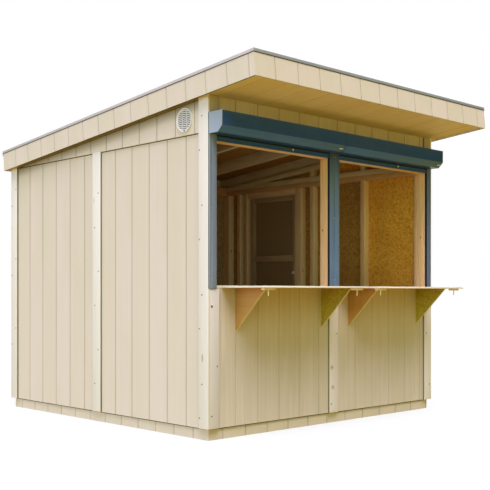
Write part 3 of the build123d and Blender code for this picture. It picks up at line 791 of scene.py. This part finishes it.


def groovedSheet(corner, along, up, length, height, thick, first, depth=groove["depth"]):
    # corner is the outer face's lower corner; along crosses the grooves and up follows them
    pitch = siding["pitch"]
    first %= pitch
    bpy.ops.object.select_all(action="DESELECT")
    bpy.ops.mesh.primitive_plane_add(size=1, location=(0, thick / 2, 0))
    sheet = bpy.context.active_object
    sheet.scale = (pitch, thick, 1)
    settle(sheet)
    for place in (-groove["mouth"], -groove["floor"], groove["floor"], groove["mouth"]):
        cut(sheet, (place / 2, 0, 0), xAxis)
    pick(sheet, lambda co: abs(co.x) < groove["floor"] / 2 + hair and co.y < hair, "VERT")
    bpy.ops.transform.translate(value=(0, depth, 0))
    done()
    start = first - math.ceil(first / pitch) * pitch
    addModifier(sheet, "ARRAY", count=math.ceil((length - start) / pitch) + 1, use_relative_offset=False,
                use_constant_offset=True, constant_offset_displace=(pitch, 0, 0),
                use_merge_vertices=True, merge_threshold=hair)
    sheet.location.x = start
    settle(sheet)
    cut(sheet, (0, 0, 0), xAxis, clear_inner=True)
    cut(sheet, (length, 0, 0), xAxis, clear_outer=True)
    editAll(sheet)
    pullOut((0, 0, height))
    editAll(sheet)
    bpy.ops.mesh.normals_make_consistent(inside=False)
    done()
    across = random.randint(3, 40) * pitch - first
    shift = Vector((across, random.uniform(0, 5), random.uniform(0, grainRoom)))
    grain, tone = grainLayers(sheet)
    sheetTone = random.random()
    for i, point in enumerate(sheet.data.vertices):
        grain[i].vector = point.co + shift
        tone[i].value = sheetTone
    turn = Matrix((along, -along.cross(up), up)).transposed().to_4x4()
    sheet.data.transform(Matrix.Translation(corner) @ turn)
    return sheet


def uprightSheet(low, high, side, first, depth=groove["depth"]):
    # a sheet between two corners; side is the way its grooved face looks
    size = high - low
    nearY, nearX = frontFace + first, leftFace + first
    corner, along, length, thick, away = {
        "left": ((low.x, high.y), -yAxis, size.y, size.x, high.y - nearY),
        "right": ((high.x, low.y), yAxis, size.y, size.x, nearY - low.y),
        "front": ((low.x, low.y), xAxis, size.x, size.y, nearX - low.x),
        "back": ((high.x, high.y), -xAxis, size.x, size.y, high.x - nearX),
    }[side]
    return groovedSheet(Vector((*corner, low.z)), along, zAxis, length, size.z, thick, away, depth)


def finishSiding(name, sheets, inward, node, outside, inside, upper=None, far=None, body="kiosk"):
    def chosen(centre, normal):
        if normal.dot(inward) > 0.7:
            return 3 if centre.y > frontFace + litUntil else 1
        return 2 if centre.z > stripFrom else 0

    looks = [outside, inside, upper or outside, far or inside]
    finishPiece(name, sheets, [node], looks, chosen, body)


def cutUnderRoof(sheets, rise):
    for sheet in sheets:
        cut(sheet, onRoof(0, 0, rise), offSlope, use_fill=True, clear_outer=True)


# walls
for side, inward, lining in (("left", xAxis, "flakeOld"), ("right", -xAxis, "flakeBoard")):
    node = side + "_panels"
    sheets = [uprightSheet(low, high, side, firstGrooves["side"]) for low, high in boardBoxes(node)]
    finishSiding(side + "_siding", sheets, inward, node, "wallPaint", lining, far="flakeShade")

rafterUnder = min(roofPlace(point.co)[1] for point in cad["rafters"].data.vertices)
for side, inward, depth, looks in (
    ("front", yAxis, groove["softDepth"], ("frontPaint", "flakeBoard", "stripPaint")),
    ("back", -yAxis, groove["depth"], ("sidingPaint", "flakeOld")),
):
    node = side + "_panels"
    sheets = [uprightSheet(low, high, side, firstGrooves["front"], depth) for low, high in boardBoxes(node)]
    cutUnderRoof(sheets, rafterUnder)
    finishSiding(side + "_siding", sheets, inward, node, *looks)

ventHole = {"radius": 0.059, "length": 0.1}
gables = []
for low, high in boardBoxes("gable_panels"):
    side = outerFace(low, high)[0]
    sheet = uprightSheet(low, high, side, firstGrooves["gable"])
    cutUnderRoof([sheet], min(roofPlace(co)[1] for co in deckPoints))
    if side == "left":
        middle = (leftFace, ventMiddle.y, ventMiddle.z)
        takeAway(sheet, startRound("hole", ventHole["radius"], ventHole["length"], middle, xAxis, 48))
    gables.append(sheet)
finishPiece("gable_siding", gables, ["gable_panels"], ["wallPaint", "flakeBoard"],
            lambda centre, normal: normal.x * centre.x < -0.5 * abs(centre.x))

plinth = []
for low, high in boardBoxes("plinth_boards"):
    side = outerFace(low, high)[0]
    first = firstGrooves["frontPlinth" if side in ("front", "back") else "sidePlinth"]
    plinth.append(uprightSheet(low, high, side, first))
finishPiece("plinth_siding", plinth, ["plinth_boards"], ["sidingPaint"])

# fascias and soffits, laid in the roof's own frame
fascias = []
for xs, runs, rises in roofBoxes("end_fascias"):
    wide, deep, tall = xs[1] - xs[0], runs[1] - runs[0], rises[1] - rises[0]
    if runs[0] < 0.1:  # at the front
        corner, along, first = onRoof(xs[0], runs[0], rises[0]), xAxis, firstGrooves["frontFascia"]
    else:
        corner, along, first = onRoof(xs[1], runs[1], rises[0]), -xAxis, wide - firstGrooves["frontFascia"]
    fascias.append(groovedSheet(corner, along, offSlope, wide, tall, deep, first, groove["softDepth"]))
finishPiece("end_fascia_siding", fascias, ["end_fascias"], ["sidingPaint"])

fascias = []
for xs, runs, rises in roofBoxes("side_fascias"):
    wide, deep, tall = xs[1] - xs[0], runs[1] - runs[0], rises[1] - rises[0]
    near = firstGrooves["sideFascia"]
    if xs[0] < 0:
        corner, along, first = onRoof(xs[0], runs[1], rises[0]), -downSlope, runs[1] - near
    else:
        corner, along, first = onRoof(xs[1], runs[0], rises[0]), downSlope, near - runs[0]
    fascias.append(groovedSheet(corner, along, offSlope, deep, tall, wide, first, groove["softDepth"]))
finishPiece("side_fascia_siding", fascias, ["side_fascias"], ["sidingPaint", "eaveShade"],
            facing(-offSlope, 0.7))

soffits = []
for xs, runs, rises in roofBoxes("soffit_boards"):
    wide, deep, tall = xs[1] - xs[0], runs[1] - runs[0], rises[1] - rises[0]
    first = xs[1] - (fasciaLeft + firstGrooves["soffit"])
    corner = onRoof(xs[1], runs[0], rises[0])
    soffits.append(groovedSheet(corner, -xAxis, downSlope, wide, deep, tall, first, groove["soffitDepth"]))
finishPiece("soffit_siding", soffits, ["soffit_boards"], ["soffitPaint"])

# dark strips under the fascias, where panels lap and above the plinth, as painted shade
seal = {
    "eave": 0.003,
    "eaveProud": 0.0015,
    "lap": 0.005,
    "overLap": 0.001,
    "foot": 0.007,
    "proud": 0.0010,
    "fromEnd": 0.10,
    "easing": 0.0004,
}
shadowStrips = []


def shadowStrip(low, high, turn=None):
    ends = limits((low, high))
    bead = easedBox("bead", [end[0] for end in ends], [end[1] for end in ends], seal["easing"], 1)
    if turn:
        bead.data.transform(turn)
    shadowStrips.append(bead)


roofTurn = Matrix.Translation(onRoof(0, 0, 0)) @ Matrix((xAxis, downSlope, offSlope)).transposed().to_4x4()
nearRun = roofPlace(Vector((0, frontFace + seal["fromEnd"], eave.z)))[0]
farRun = roofPlace(Vector((0, backFace - seal["fromEnd"], eave.z)))[0]
wallFoot = min(low.z for low, high in boardBoxes("front_panels"))
for low, high in boardBoxes("gable_panels"):
    side, way, outer = outerFace(low, high)
    wall = outerFace(*boardBoxes(side + "_panels")[0])[2]
    shadowStrip((wall, nearRun, -seal["eave"]), (outer + way * seal["eaveProud"], farRun, 0.0), roofTurn)
    tip = min(high.y, eave.y + (eave.z - low.z) / math.tan(slope))
    shadowStrip((wall, low.y, low.z - seal["lap"]), (wall + way * seal["proud"], tip, low.z + seal["overLap"]))
for low, high in boardBoxes("plinth_boards"):
    side, way, face = outerFace(low, high)
    low.z, high.z = wallFoot - seal["foot"], wallFoot
    axis = 1 if side in ("front", "back") else 0
    low[axis], high[axis] = face, face + way * seal["proud"]
    shadowStrip(low, high)
finishPiece("siding_shadow_lines", shadowStrips, [], ["lapShade"])
print("siding made")

# cover boards, frames and floor
easing = {
    "cover": 0.0028,
    "timber": 0.0022,
    "shelf": 0.0018,
    "sheet": 0.001,
    "bracket": 0.0009,
    "hinge": 0.0006,
}
sawnShadeFrom = 0.004  # narrow faces this far in from the building's corners are left as sawn wood, painted darker as shade
cornerWidth = 0.1  # what lies this near the left face belongs to the corner board


# narrow faces get the sawn edge colour, darkened as painted shade; the corner board's front gets darker
# copies of the cover paint, as painted shade, darkest above the housings
def frontBoard(centre, normal):
    if abs(normal.x) > 0.9 and leftFace + sawnShadeFrom < centre.x < rightFace - sawnShadeFrom:
        return 2
    if centre.z > housingTop and normal.y < -0.5:
        return 3
    return normal.y < -0.5 and centre.x < leftFace + cornerWidth


easedBoards("front_trims", easing["cover"], "cover_boards", "frontCover", "cornerPaint", "boardEdge",
            "cornerTop", segments=3, choose=frontBoard, level=housingTop)
easedBoards("side_trims", easing["cover"], "cover_boards", "coverPaint", "boardEdge", segments=3,
            choose=lambda centre, normal: abs(normal.y) > 0.9 and centre.y > frontFace + sawnShadeFrom)
for node in ("back_trims", "door_surround"):
    easedBoards(node, easing["cover"], "cover_boards", "coverPaint", segments=3)
for node, look in (
    ("sole_plates", "framing"), ("top_plates", "platePine"), ("left_studs", "framing"),
    ("back_studs", "framing"), ("front_posts", "postPine"), ("front_studs", "postPine"),
    ("window_rails", "postPine"), ("gable_rails", "atticPine"), ("gable_top_plates", "atticPine"),
    ("gable_studs", "atticPine"), ("rafters", "atticPine"), ("door_stops", "atticPine"),
    ("base_bearers", "framing"),
):
    easedBoards(node, easing["timber"], "framing_timber", look)
# the studs' faces towards the windows take a lighter copy, as painted light from the windows
easedBoards("right_studs", easing["timber"], "framing_timber", "framing", "studEdge",
            choose=facing(-yAxis, 0.5))
sillTop = min(high.z for low, high in boardBoxes("window_linings")) + 0.001
easedBoards("window_linings", easing["timber"], "framing_timber", "postPine", "shelfPaint",
            choose=lambda centre, normal: centre.z < sillTop and (normal.z > 0.5 or normal.y < -0.5))
easedBoards("roof_deck", easing["sheet"], "floor_board", "flakeShade")
easedBoards("floor_deck", easing["sheet"], "floor_board", "flakeBoard")
print("boards and frames made")

# side door
sheet = uprightSheet(*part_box("door_panel"), "right", firstGrooves["side"])
finishSiding("door_siding", [sheet], -xAxis, "door_panel", "wallPaint", "doorBrown", body="door")
easedBoards("door_boards", easing["cover"], "cover_boards", "coverPaint", body="door", segments=3)
easedBoards("door_framing", easing["timber"], "framing_timber", "doorPine", body="door")
for node, look, body in (
    ("door_hinge_plates", "zincPlate", "kiosk"),
    ("door_hinge_straps", "zincPlate", "door"),
    ("door_handle", "brightKnob", "door"),
):
    piece = mergedCopy(node, node + "_metal")
    ease(piece, easing["hinge"], 1, 50)
    finishPiece(node + "_metal", [piece], [node], [look], body=body)
print("door made")

# roller shutters
housing = {
    "chamfer": 0.042,
    "inset": 0.0006,  # the bent sheet lies this far inside its end caps
    "rim": 0.006,
    "press": 0.0015,
    "easing": 0.0012,
    "capThick": 0.004,
    "capRim": 0.007,
    "capBend": 0.001,
    "capSink": 0.0018,
    "capEasing": 0.0006,
    "jointSink": 0.004,
    "notchPast": 0.01,
    "bendAngle": 20,
}
guide = {
    "flange": 0.016,
    "flangeBack": 0.0025,
    "lip": 0.0015,
    "slotDeep": 0.030,
    "sealInset": 0.0008,
    "sealGap": 0.0002,
    "sealEnd": 0.001,
    "sealEasing": 0.0015,
    "easing": 0.0009,
}
edging = {
    "to": 0.016,
    "under": 0.0015,
    "proud": 0.0035,
    "packFrom": 0.001,
    "packProud": 0.0015,
    "easing": 0.0006,
}
bottomBar = {"rim": 0.005, "bend": 0.002, "easing": 0.0012}
brushShade = {"high": 0.009, "deep": 0.003, "proud": 0.0008, "easing": 0.0004}
knob = {"pastMiddle": 0.165, "halfWidth": 0.0055, "halfHeight": 0.0085, "proud": 0.005, "easing": 0.0012}
plug = {"long": 0.040, "wide": 0.009, "thick": 0.004, "fromEnd": 0.033, "easing": 0.0018}
lapEdge = leftFace + edging["to"]  # the edging laps the left corner board up to here


def chamferedBlock(name, low, high):  # a long box with its lower front edge cut off at 45 degrees
    piece = startBox(name, low, high)
    pick(piece, lambda middle, way: (abs(way.x) > 0.9 and middle.y < low.y + hair
                                     and middle.z < low.z + hair), "EDGE")
    bpy.ops.mesh.bevel(offset=housing["chamfer"], segments=1, affect="EDGES", offset_type="OFFSET")
    done()
    return piece


housingBoxes = boardBoxes("shutter_housings")
lapStart = min(low.x for low, high in housingBoxes)
bodies, caps = [], []
for low, high in housingBoxes:
    thick, inset = housing["capThick"], housing["inset"]
    laps = low.x < lapEdge - 0.001
    body = chamferedBlock("body", low + Vector((thick, inset, inset)), high - Vector((thick, 0, inset)))
    if laps:  # the part in front of the corner board is cut back to it
        past = housing["notchPast"]
        notchHigh = (lapEdge, high.y + past, high.z + past)
        takeAway(body, startBox("notch", (low.x - past, frontFace, low.z - past), notchHigh))
    pressIn(body, facing(-yAxis), housing["rim"], housing["press"], housing["press"])
    ease(body, housing["easing"], 2, housing["bendAngle"])
    bodies.append(body)
    for start, end, way in ((low.x, low.x + thick, -1), (high.x - thick, high.x, 1)):
        outer = (start + end) * way > 0.5 * (rightFace - leftFace)
        drawn = 0.0 if outer else housing["jointSink"]  # leaves a dark joint between the housings
        back = frontFace if laps and way < 0 else high.y
        capLow, capHigh = Vector((start, low.y + drawn, low.z + drawn)), Vector((end, back, high.z - drawn))
        cap = chamferedBlock("cap", capLow, capHigh)
        pressIn(cap, facing(xAxis * way), housing["capRim"], housing["capBend"], housing["capSink"])
        ease(cap, housing["capEasing"], 2, housing["bendAngle"])
        (caps if outer else bodies).append(cap)
# the chamfer takes a lighter copy of the housing paint, as painted light from below
finishPiece("shutter_housing_bodies", bodies, ["shutter_housings"],
            ["shutterPaint", "chamferPaint"], lambda centre, normal: normal.y < -0.5 and normal.z < -0.5)
finishPiece("shutter_end_caps", caps, [], ["capPaint"])


def guideRail(low, high, mouthLeft):
    # a channel with its slot towards the window and a lower flange on its far side
    rail = startBox("rail", low, high)
    slotFront, slotBack = low.y + guide["lip"], high.y - guide["lip"]
    way = -1 if mouthLeft else 1
    flangeEdge = (high.x if mouthLeft else low.x) + way * guide["flange"]
    for place, normal in (((0, slotFront, 0), yAxis), ((0, slotBack, 0), yAxis), ((flangeEdge, 0, 0), xAxis)):
        cut(rail, place, normal)
    pick(rail, lambda centre, normal: normal.x * way > 0.9 and slotFront < centre.y < slotBack)
    pullOut((-way * guide["slotDeep"], 0, 0))
    pick(rail, lambda centre, normal: normal.y < -0.9 and (flangeEdge - centre.x) * way > 0)
    pullOut((0, guide["flangeBack"], 0))
    ease(rail, guide["easing"], 2, 50)
    return rail


guideBoxes = sorted(boardBoxes("shutter_guides"), key=lambda box: box[0].x)
guideBoxes[0][0].x = lapEdge  # its edging strip covers the rest
rails, seals = [], []
for i, (low, high) in enumerate(guideBoxes):
    mouthLeft = i % 2 == 1
    rails.append(guideRail(low, high, mouthLeft))
    inset, deep = guide["sealInset"], guide["lip"] + guide["sealGap"]
    slotLow = low + Vector((inset, deep, guide["sealEnd"]))
    slotHigh = high - Vector((inset, deep, guide["sealEnd"]))
    if mouthLeft:
        slotHigh.x = low.x + guide["slotDeep"] - guide["sealEnd"]
    else:
        slotLow.x = high.x - guide["slotDeep"] + guide["sealEnd"]
    seals.append(easedBox("seal", slotLow, slotHigh, guide["sealEasing"]))
leftGuideEnd, rightGuideStart = guideBoxes[0][1].x + 0.001, guideBoxes[-1][0].x - 0.001
# the left guide takes a lighter copy of the paint, as painted light from the left; the right guide takes a
# greyer copy
finishPiece("shutter_guide_rails", rails, ["shutter_guides"],
            ["guidePaint", "fadedGuidePaint", "endGuidePaint"],
            lambda centre, normal: 1 if centre.x < leftGuideEnd else 2 if centre.x > rightGuideStart else 0)
finishPiece("shutter_guide_seals", seals, [], ["darkSeal"])

guideFoot, guideTop = guideBoxes[0][0].z, guideBoxes[0][1].z
packStart = leftFace + edging["packFrom"]
for name, start, end, proud, top, look in (
    ("shutter_edging", lapStart, lapEdge + edging["under"], edging["proud"], guideTop, "capPaint"),
    ("shutter_packing", packStart, lapStart, edging["packProud"], housingTop, "packingGrey"),
):
    bead = easedBox(name, (start, frontFace - proud, guideFoot), (end, frontFace, top), edging["easing"])
    finishPiece(name, [bead], [], [look])

bars, plugs, brushShades = [], [], []
for low, high in boardBoxes("shutter_bars"):
    bar = startBox("bar", low, high)
    pressIn(bar, facing(-yAxis), bottomBar["rim"], bottomBar["bend"], bottomBar["bend"])
    ease(bar, bottomBar["easing"])
    bars.append(bar)
    # a dark brush strip on each bottom bar's top, as painted shade under the housing
    brushShadeFront = low.y - brushShade["proud"]
    brushShades.append(easedBox("brushShade", (low.x, brushShadeFront, high.z - brushShade["high"]),
                            (high.x, brushShadeFront + brushShade["deep"], high.z), brushShade["easing"], 1))
    middle = (low + high) / 2
    head = startRound("knob", 1, knob["proud"], (0, 0, 0), -yAxis, 20)
    head.scale = (knob["halfWidth"], 1, knob["halfHeight"])
    head.location = (middle.x + knob["pastMiddle"], low.y - knob["proud"] / 2, middle.z)
    settle(head)
    ease(head, knob["easing"], 2, 50)
    plugs.append(head)
finishPiece("shutter_bottom_bars", bars, ["shutter_bars"], ["barPaint"])
finishPiece("shutter_brush_shades", brushShades, [], ["darkSeal"])

for low, high in housingBoxes:
    cover = easedBox("plug", (-plug["long"] / 2, -plug["thick"], -plug["wide"] / 2),
                     (plug["long"] / 2, 0, plug["wide"] / 2), plug["easing"], 3)
    cover.rotation_euler.x = math.radians(45)
    half = housing["chamfer"] / 2
    cover.location = (high.x - plug["fromEnd"], low.y + half, low.z + half)
    settle(cover)
    plugs.append(cover)
finishPiece("shutter_plugs", plugs, [], ["palePlug"])
print("shutters made")

# counter: shelves, brackets, pegs
# the front edge takes a lighter copy of the paint, as painted light; the top takes a darker copy
easedBoards("counter_shelves", easing["shelf"], "cover_boards", "shelfPaint", "flakeBoard", "shelfLip",
            "shelfTop", choose=lambda centre, normal: (
                1 if normal.z < -0.9 else 2 if normal.y < -0.5 else 3 if normal.z > 0.9 else 0))
bracketXs = sorted(low.x for low, high in boardBoxes("counter_brackets"))


def bracketFace(centre, normal):  # offcuts with their smooth faces turned outwards, towards the shelf's ends
    if abs(normal.x) < 0.9:
        return 2
    number = sum(centre.x > x - 0.001 for x in bracketXs) - 1
    smoothSide = -1 if number % 2 == 0 else 1
    return normal.x * smoothSide <= 0


easedBoards("counter_brackets", easing["bracket"], "bracket_board", "bracketTan", "bracketFlake",
            "shelfPaint", choose=bracketFace)

peg = {"thick": 0.014, "easing": 0.0015}
pegPin = {"radius": 0.004, "rim": 0.0012, "hollow": 0.0003, "easing": 0.0008}
pegs = []
for low, high in boardBoxes("shelf_pegs"):
    middle = (low + high) / 2
    blockUnder = high.z - peg["thick"]
    block = easedBox("block", (low.x, low.y, blockUnder), high, peg["easing"])
    pinMiddle = (middle.x, middle.y, (blockUnder + low.z) / 2)
    pin = startRound("pin", pegPin["radius"], blockUnder - low.z, pinMiddle, zAxis, 16)
    pick(pin, facing(-zAxis))
    bpy.ops.mesh.inset(thickness=pegPin["rim"])
    bpy.ops.transform.translate(value=(0, 0, pegPin["hollow"]))
    done()
    ease(pin, pegPin["easing"], 2, 50)
    pegs += [block, pin]
pegSet = join("shelf_peg_set", pegs)
markGrain(pegSet)
# pale cream pegs, their colour raised towards white as painted light
finishPiece("shelf_peg_set", [pegSet], ["shelf_pegs"], ["pegWood"])
print("counter made")

vent = {
    "thick": 0.010,
    "rim": 0.006,
    "dish": 0.003,
    "rows": 12,
    "rowPitch": 0.0123,
    "slotLong": 0.044,
    "slotHigh": 0.0060,
    "cutReach": 0.02,
    "smoothUnder": 30,
    "shortest": 0.006,
    "slotSlope": 20.0,  # the slots fall outwards, to shed rain
    "web": 0.0018,
    "edge": 0.001,
    "collar": 0.058,
    "collarLong": 0.012,
    "collarThick": 0.003,
    "meshRadius": 0.068,  # a dark mesh disc behind the slots, its darkness painted shade inside the vent
    "meshDeep": 0.0065,
    "meshThick": 0.001,
    "meshEasing": 0.0003,
}


def ventPlace(deep, up=0.0):  # a point on the vent's axis or above it, this deep behind its front
    return (ventLow.x + deep, ventMiddle.y, ventMiddle.z + up)


ventRadius = (ventHigh.z - ventLow.z) / 2
disc = startRound("disc", ventRadius, vent["thick"], ventPlace(vent["thick"] / 2), -xAxis, 64)
pressIn(disc, facing(-xAxis), vent["rim"], vent["dish"], vent["dish"])
room = ventRadius - vent["rim"] - vent["edge"]
cutters = []
for column in range(-1, 2):
    over = column * vent["slotLong"]
    offset = 0.5 if column == 0 else 0.0  # the middle column lies half a row higher
    for row in range(-vent["rows"] // 2, vent["rows"] // 2 + 1):
        up = (row + offset) * vent["rowPitch"]
        limit = math.sqrt(max(room ** 2 - (abs(up) + vent["slotHigh"] / 2) ** 2, 0))
        half = vent["slotLong"] / 2 - vent["web"] / 2
        near, far = max(over - half, -limit), min(over + half, limit)
        if far - near < vent["shortest"]:
            continue
        cutter = startBox("cutter", (-vent["cutReach"], near, -vent["slotHigh"] / 2),
                          (vent["cutReach"], far, vent["slotHigh"] / 2))
        cutter.rotation_euler = (0, math.radians(vent["slotSlope"]), 0)
        cutter.location = ventPlace(vent["thick"] / 2, up)
        settle(cutter)
        cutters.append(cutter)
takeAway(disc, join("cutters", cutters))
alone(disc)
bpy.ops.object.shade_smooth_by_angle(angle=math.radians(vent["smoothUnder"]))
collarMiddle = ventPlace(vent["thick"] + vent["collarLong"] / 2)
collar = startRound("collar", vent["collar"], vent["collarLong"], collarMiddle, xAxis, 48)
pick(collar, lambda centre, normal: abs(normal.x) > 0.9)
bpy.ops.mesh.delete(type="FACE")
done()
addModifier(collar, "SOLIDIFY", thickness=vent["collarThick"], offset=-1)
finishPiece("vent_louvres", [disc, collar], ["vent_grille"], ["ventPlastic"])
meshPlace = ventPlace(vent["meshDeep"])
ventBack = startRound("vent_mesh", vent["meshRadius"], vent["meshThick"], meshPlace, xAxis, 40)
ease(ventBack, vent["meshEasing"], 1, 50)
finishPiece("vent_mesh", [ventBack], [], ["ventMesh"])
print("vent made")

# roof edge and covering
roofEdge = {"easing": 0.0025, "shadeShare": 0.22}  # the share of the trim's height, at its foot, painted dark as shade
seam = {"width": 0.06, "rise": 0.002, "count": 3, "easing": 0.0008}


def edgePart(centre, normal):  # the foot painted dark as shade, the front face in a darker copy as painted shade, and the rest
    if roofPlace(centre)[1] < shadeRise:
        return 1
    return 2 if normal.dot(downSlope) < -0.5 else 0


for node in ("roof_drip_edge", "roof_edge_trim"):
    piece = mergedCopy(node, node + "_metal")
    shadeRise = -1.0  # the drip edge has no painted shade at its foot
    if node == "roof_edge_trim":
        lowest, highest = limits([(roofPlace(point.co)[1],) for point in piece.data.vertices])[0]
        shadeRise = lowest + (highest - lowest) * roofEdge["shadeShare"]
        cut(piece, onRoof(0, 0, shadeRise), offSlope)
    ease(piece, roofEdge["easing"], 3)
    finishPiece(node + "_metal", [piece], [node], ["edgeMetal", "edgeShade", "edgeFront"],
                edgePart)

box = roofBoxes("roof_covering")[0]
cover = startBox("roof_sheet", *zip(*box))
left, right = box[0]
strips = [left + (right - left) * (i + 0.5) / seam["count"] for i in range(seam["count"])]
half = seam["width"] / 2
for middle in strips:
    for place in (middle - half, middle + half):
        cut(cover, (place, 0, 0), xAxis)
pick(cover, lambda centre, normal: normal.z > 0.9 and any(abs(centre.x - middle) < half for middle in strips))
pullOut((0, 0, seam["rise"]))
ease(cover, seam["easing"])
cover.data.transform(roofTurn)
finishPiece("roof_sheet", [cover], ["roof_covering"], ["roofSheet"])
print("roof made")

screw = {
    "radius": 0.0054,
    "proud": 0.0009,
    "sunk": 0.0012,
    "rim": 0.0009,
    "crossBend": 0.0012,
    "crossDeep": 0.0009,
    "pitch": 0.578,
    "fromEnd": 0.02,
}
sideColumns = (  # a board's two zigzag columns from the front, its top, and each column's first height
    (0.060, 0.085, 2.25, 0.364, 0.145),
    (1.250, 1.294, 1.98, 0.535, 0.283),
    (2.470, 2.533, 1.98, 0.083, 0.525),
)
frontScrews = ((0.078, 0.480), (0.032, 0.160), (1.241, 0.655), (1.180, 0.905), (1.180, 0.140),
               (2.350, 0.624), (2.392, 0.880), (2.392, 0.200))  # from the left face, and height
backScrews = {"across": (0.032, 1.180, 1.240, 2.388), "heights": (0.20, 0.72, 1.24, 1.76)}
jambScrews = {"places": ((1.156, 0.064), (2.351, 0.059)), "height": 1.414}  # from the left and front faces
cornerScrew = {"place": (0.032, 0.867), "size": 1.5}
guideScrews = {"heights": (1.050, 1.503, 1.950), "fromEdge": 0.008, "size": 0.8}
ventScrew = {"aside": 0.004, "down": 0.0735, "size": 0.7}


def screwSet(name, places, look="screwZinc", size=1.0):
    master = startRound("screw", screw["radius"], screw["proud"] + screw["sunk"],
                        (0, 0, (screw["proud"] - screw["sunk"]) / 2), zAxis, 10)
    pressIn(master, facing(zAxis), screw["rim"], screw["crossBend"], screw["crossDeep"])
    heads = []
    for point, normal in places:
        head = copyOf(master)
        turn = normal.to_track_quat("Z", "Y").to_matrix().to_4x4()
        head.data.transform(Matrix.Translation(point) @ turn @ Matrix.Scale(size, 4))
        heads.append(head)
    bpy.data.objects.remove(master)
    finishPiece(name, heads, [], [look])


def atFront(across, height, deep=0.0):
    return Vector((leftFace + across, frontFace + deep, height))


places = []
for way, face in ((-1, leftFace), (1, rightFace)):
    for near, far, top, nearStart, farStart in sideColumns:
        for along, start in ((near, nearStart), (far, farStart)):
            for height in (start + i * screw["pitch"] for i in range(5)):
                if footHeight + screw["fromEnd"] < height < top - screw["fromEnd"]:
                    places.append((Vector((face, frontFace + along, height)), xAxis * way))
places += [(atFront(*place), -yAxis) for place in frontScrews]
for across in backScrews["across"]:
    places += [(Vector((leftFace + across, backFace, height)), yAxis) for height in backScrews["heights"]]
screwSet("cover_board_screws", places)
places = [(atFront(across, jambScrews["height"], deep), -xAxis) for across, deep in jambScrews["places"]]
screwSet("jamb_screws", places, "lapShade")
corner = atFront(*cornerScrew["place"])
screwSet("corner_screw", [(corner, -yAxis)], "lapShade", cornerScrew["size"])
places = []
for i, (low, high) in enumerate(guideBoxes):
    x = high.x - guideScrews["fromEdge"] if i % 2 else low.x + guideScrews["fromEdge"]
    for height in guideScrews["heights"]:
        places.append((Vector((x, low.y + guide["flangeBack"], height)), -yAxis))
screwSet("guide_screws", places, "capPaint", guideScrews["size"])
place = Vector((ventLow.x, ventMiddle.y - ventScrew["aside"], ventMiddle.z - ventScrew["down"]))
screwSet("vent_screw", [(place, -xAxis)], size=ventScrew["size"])
print("screws made")
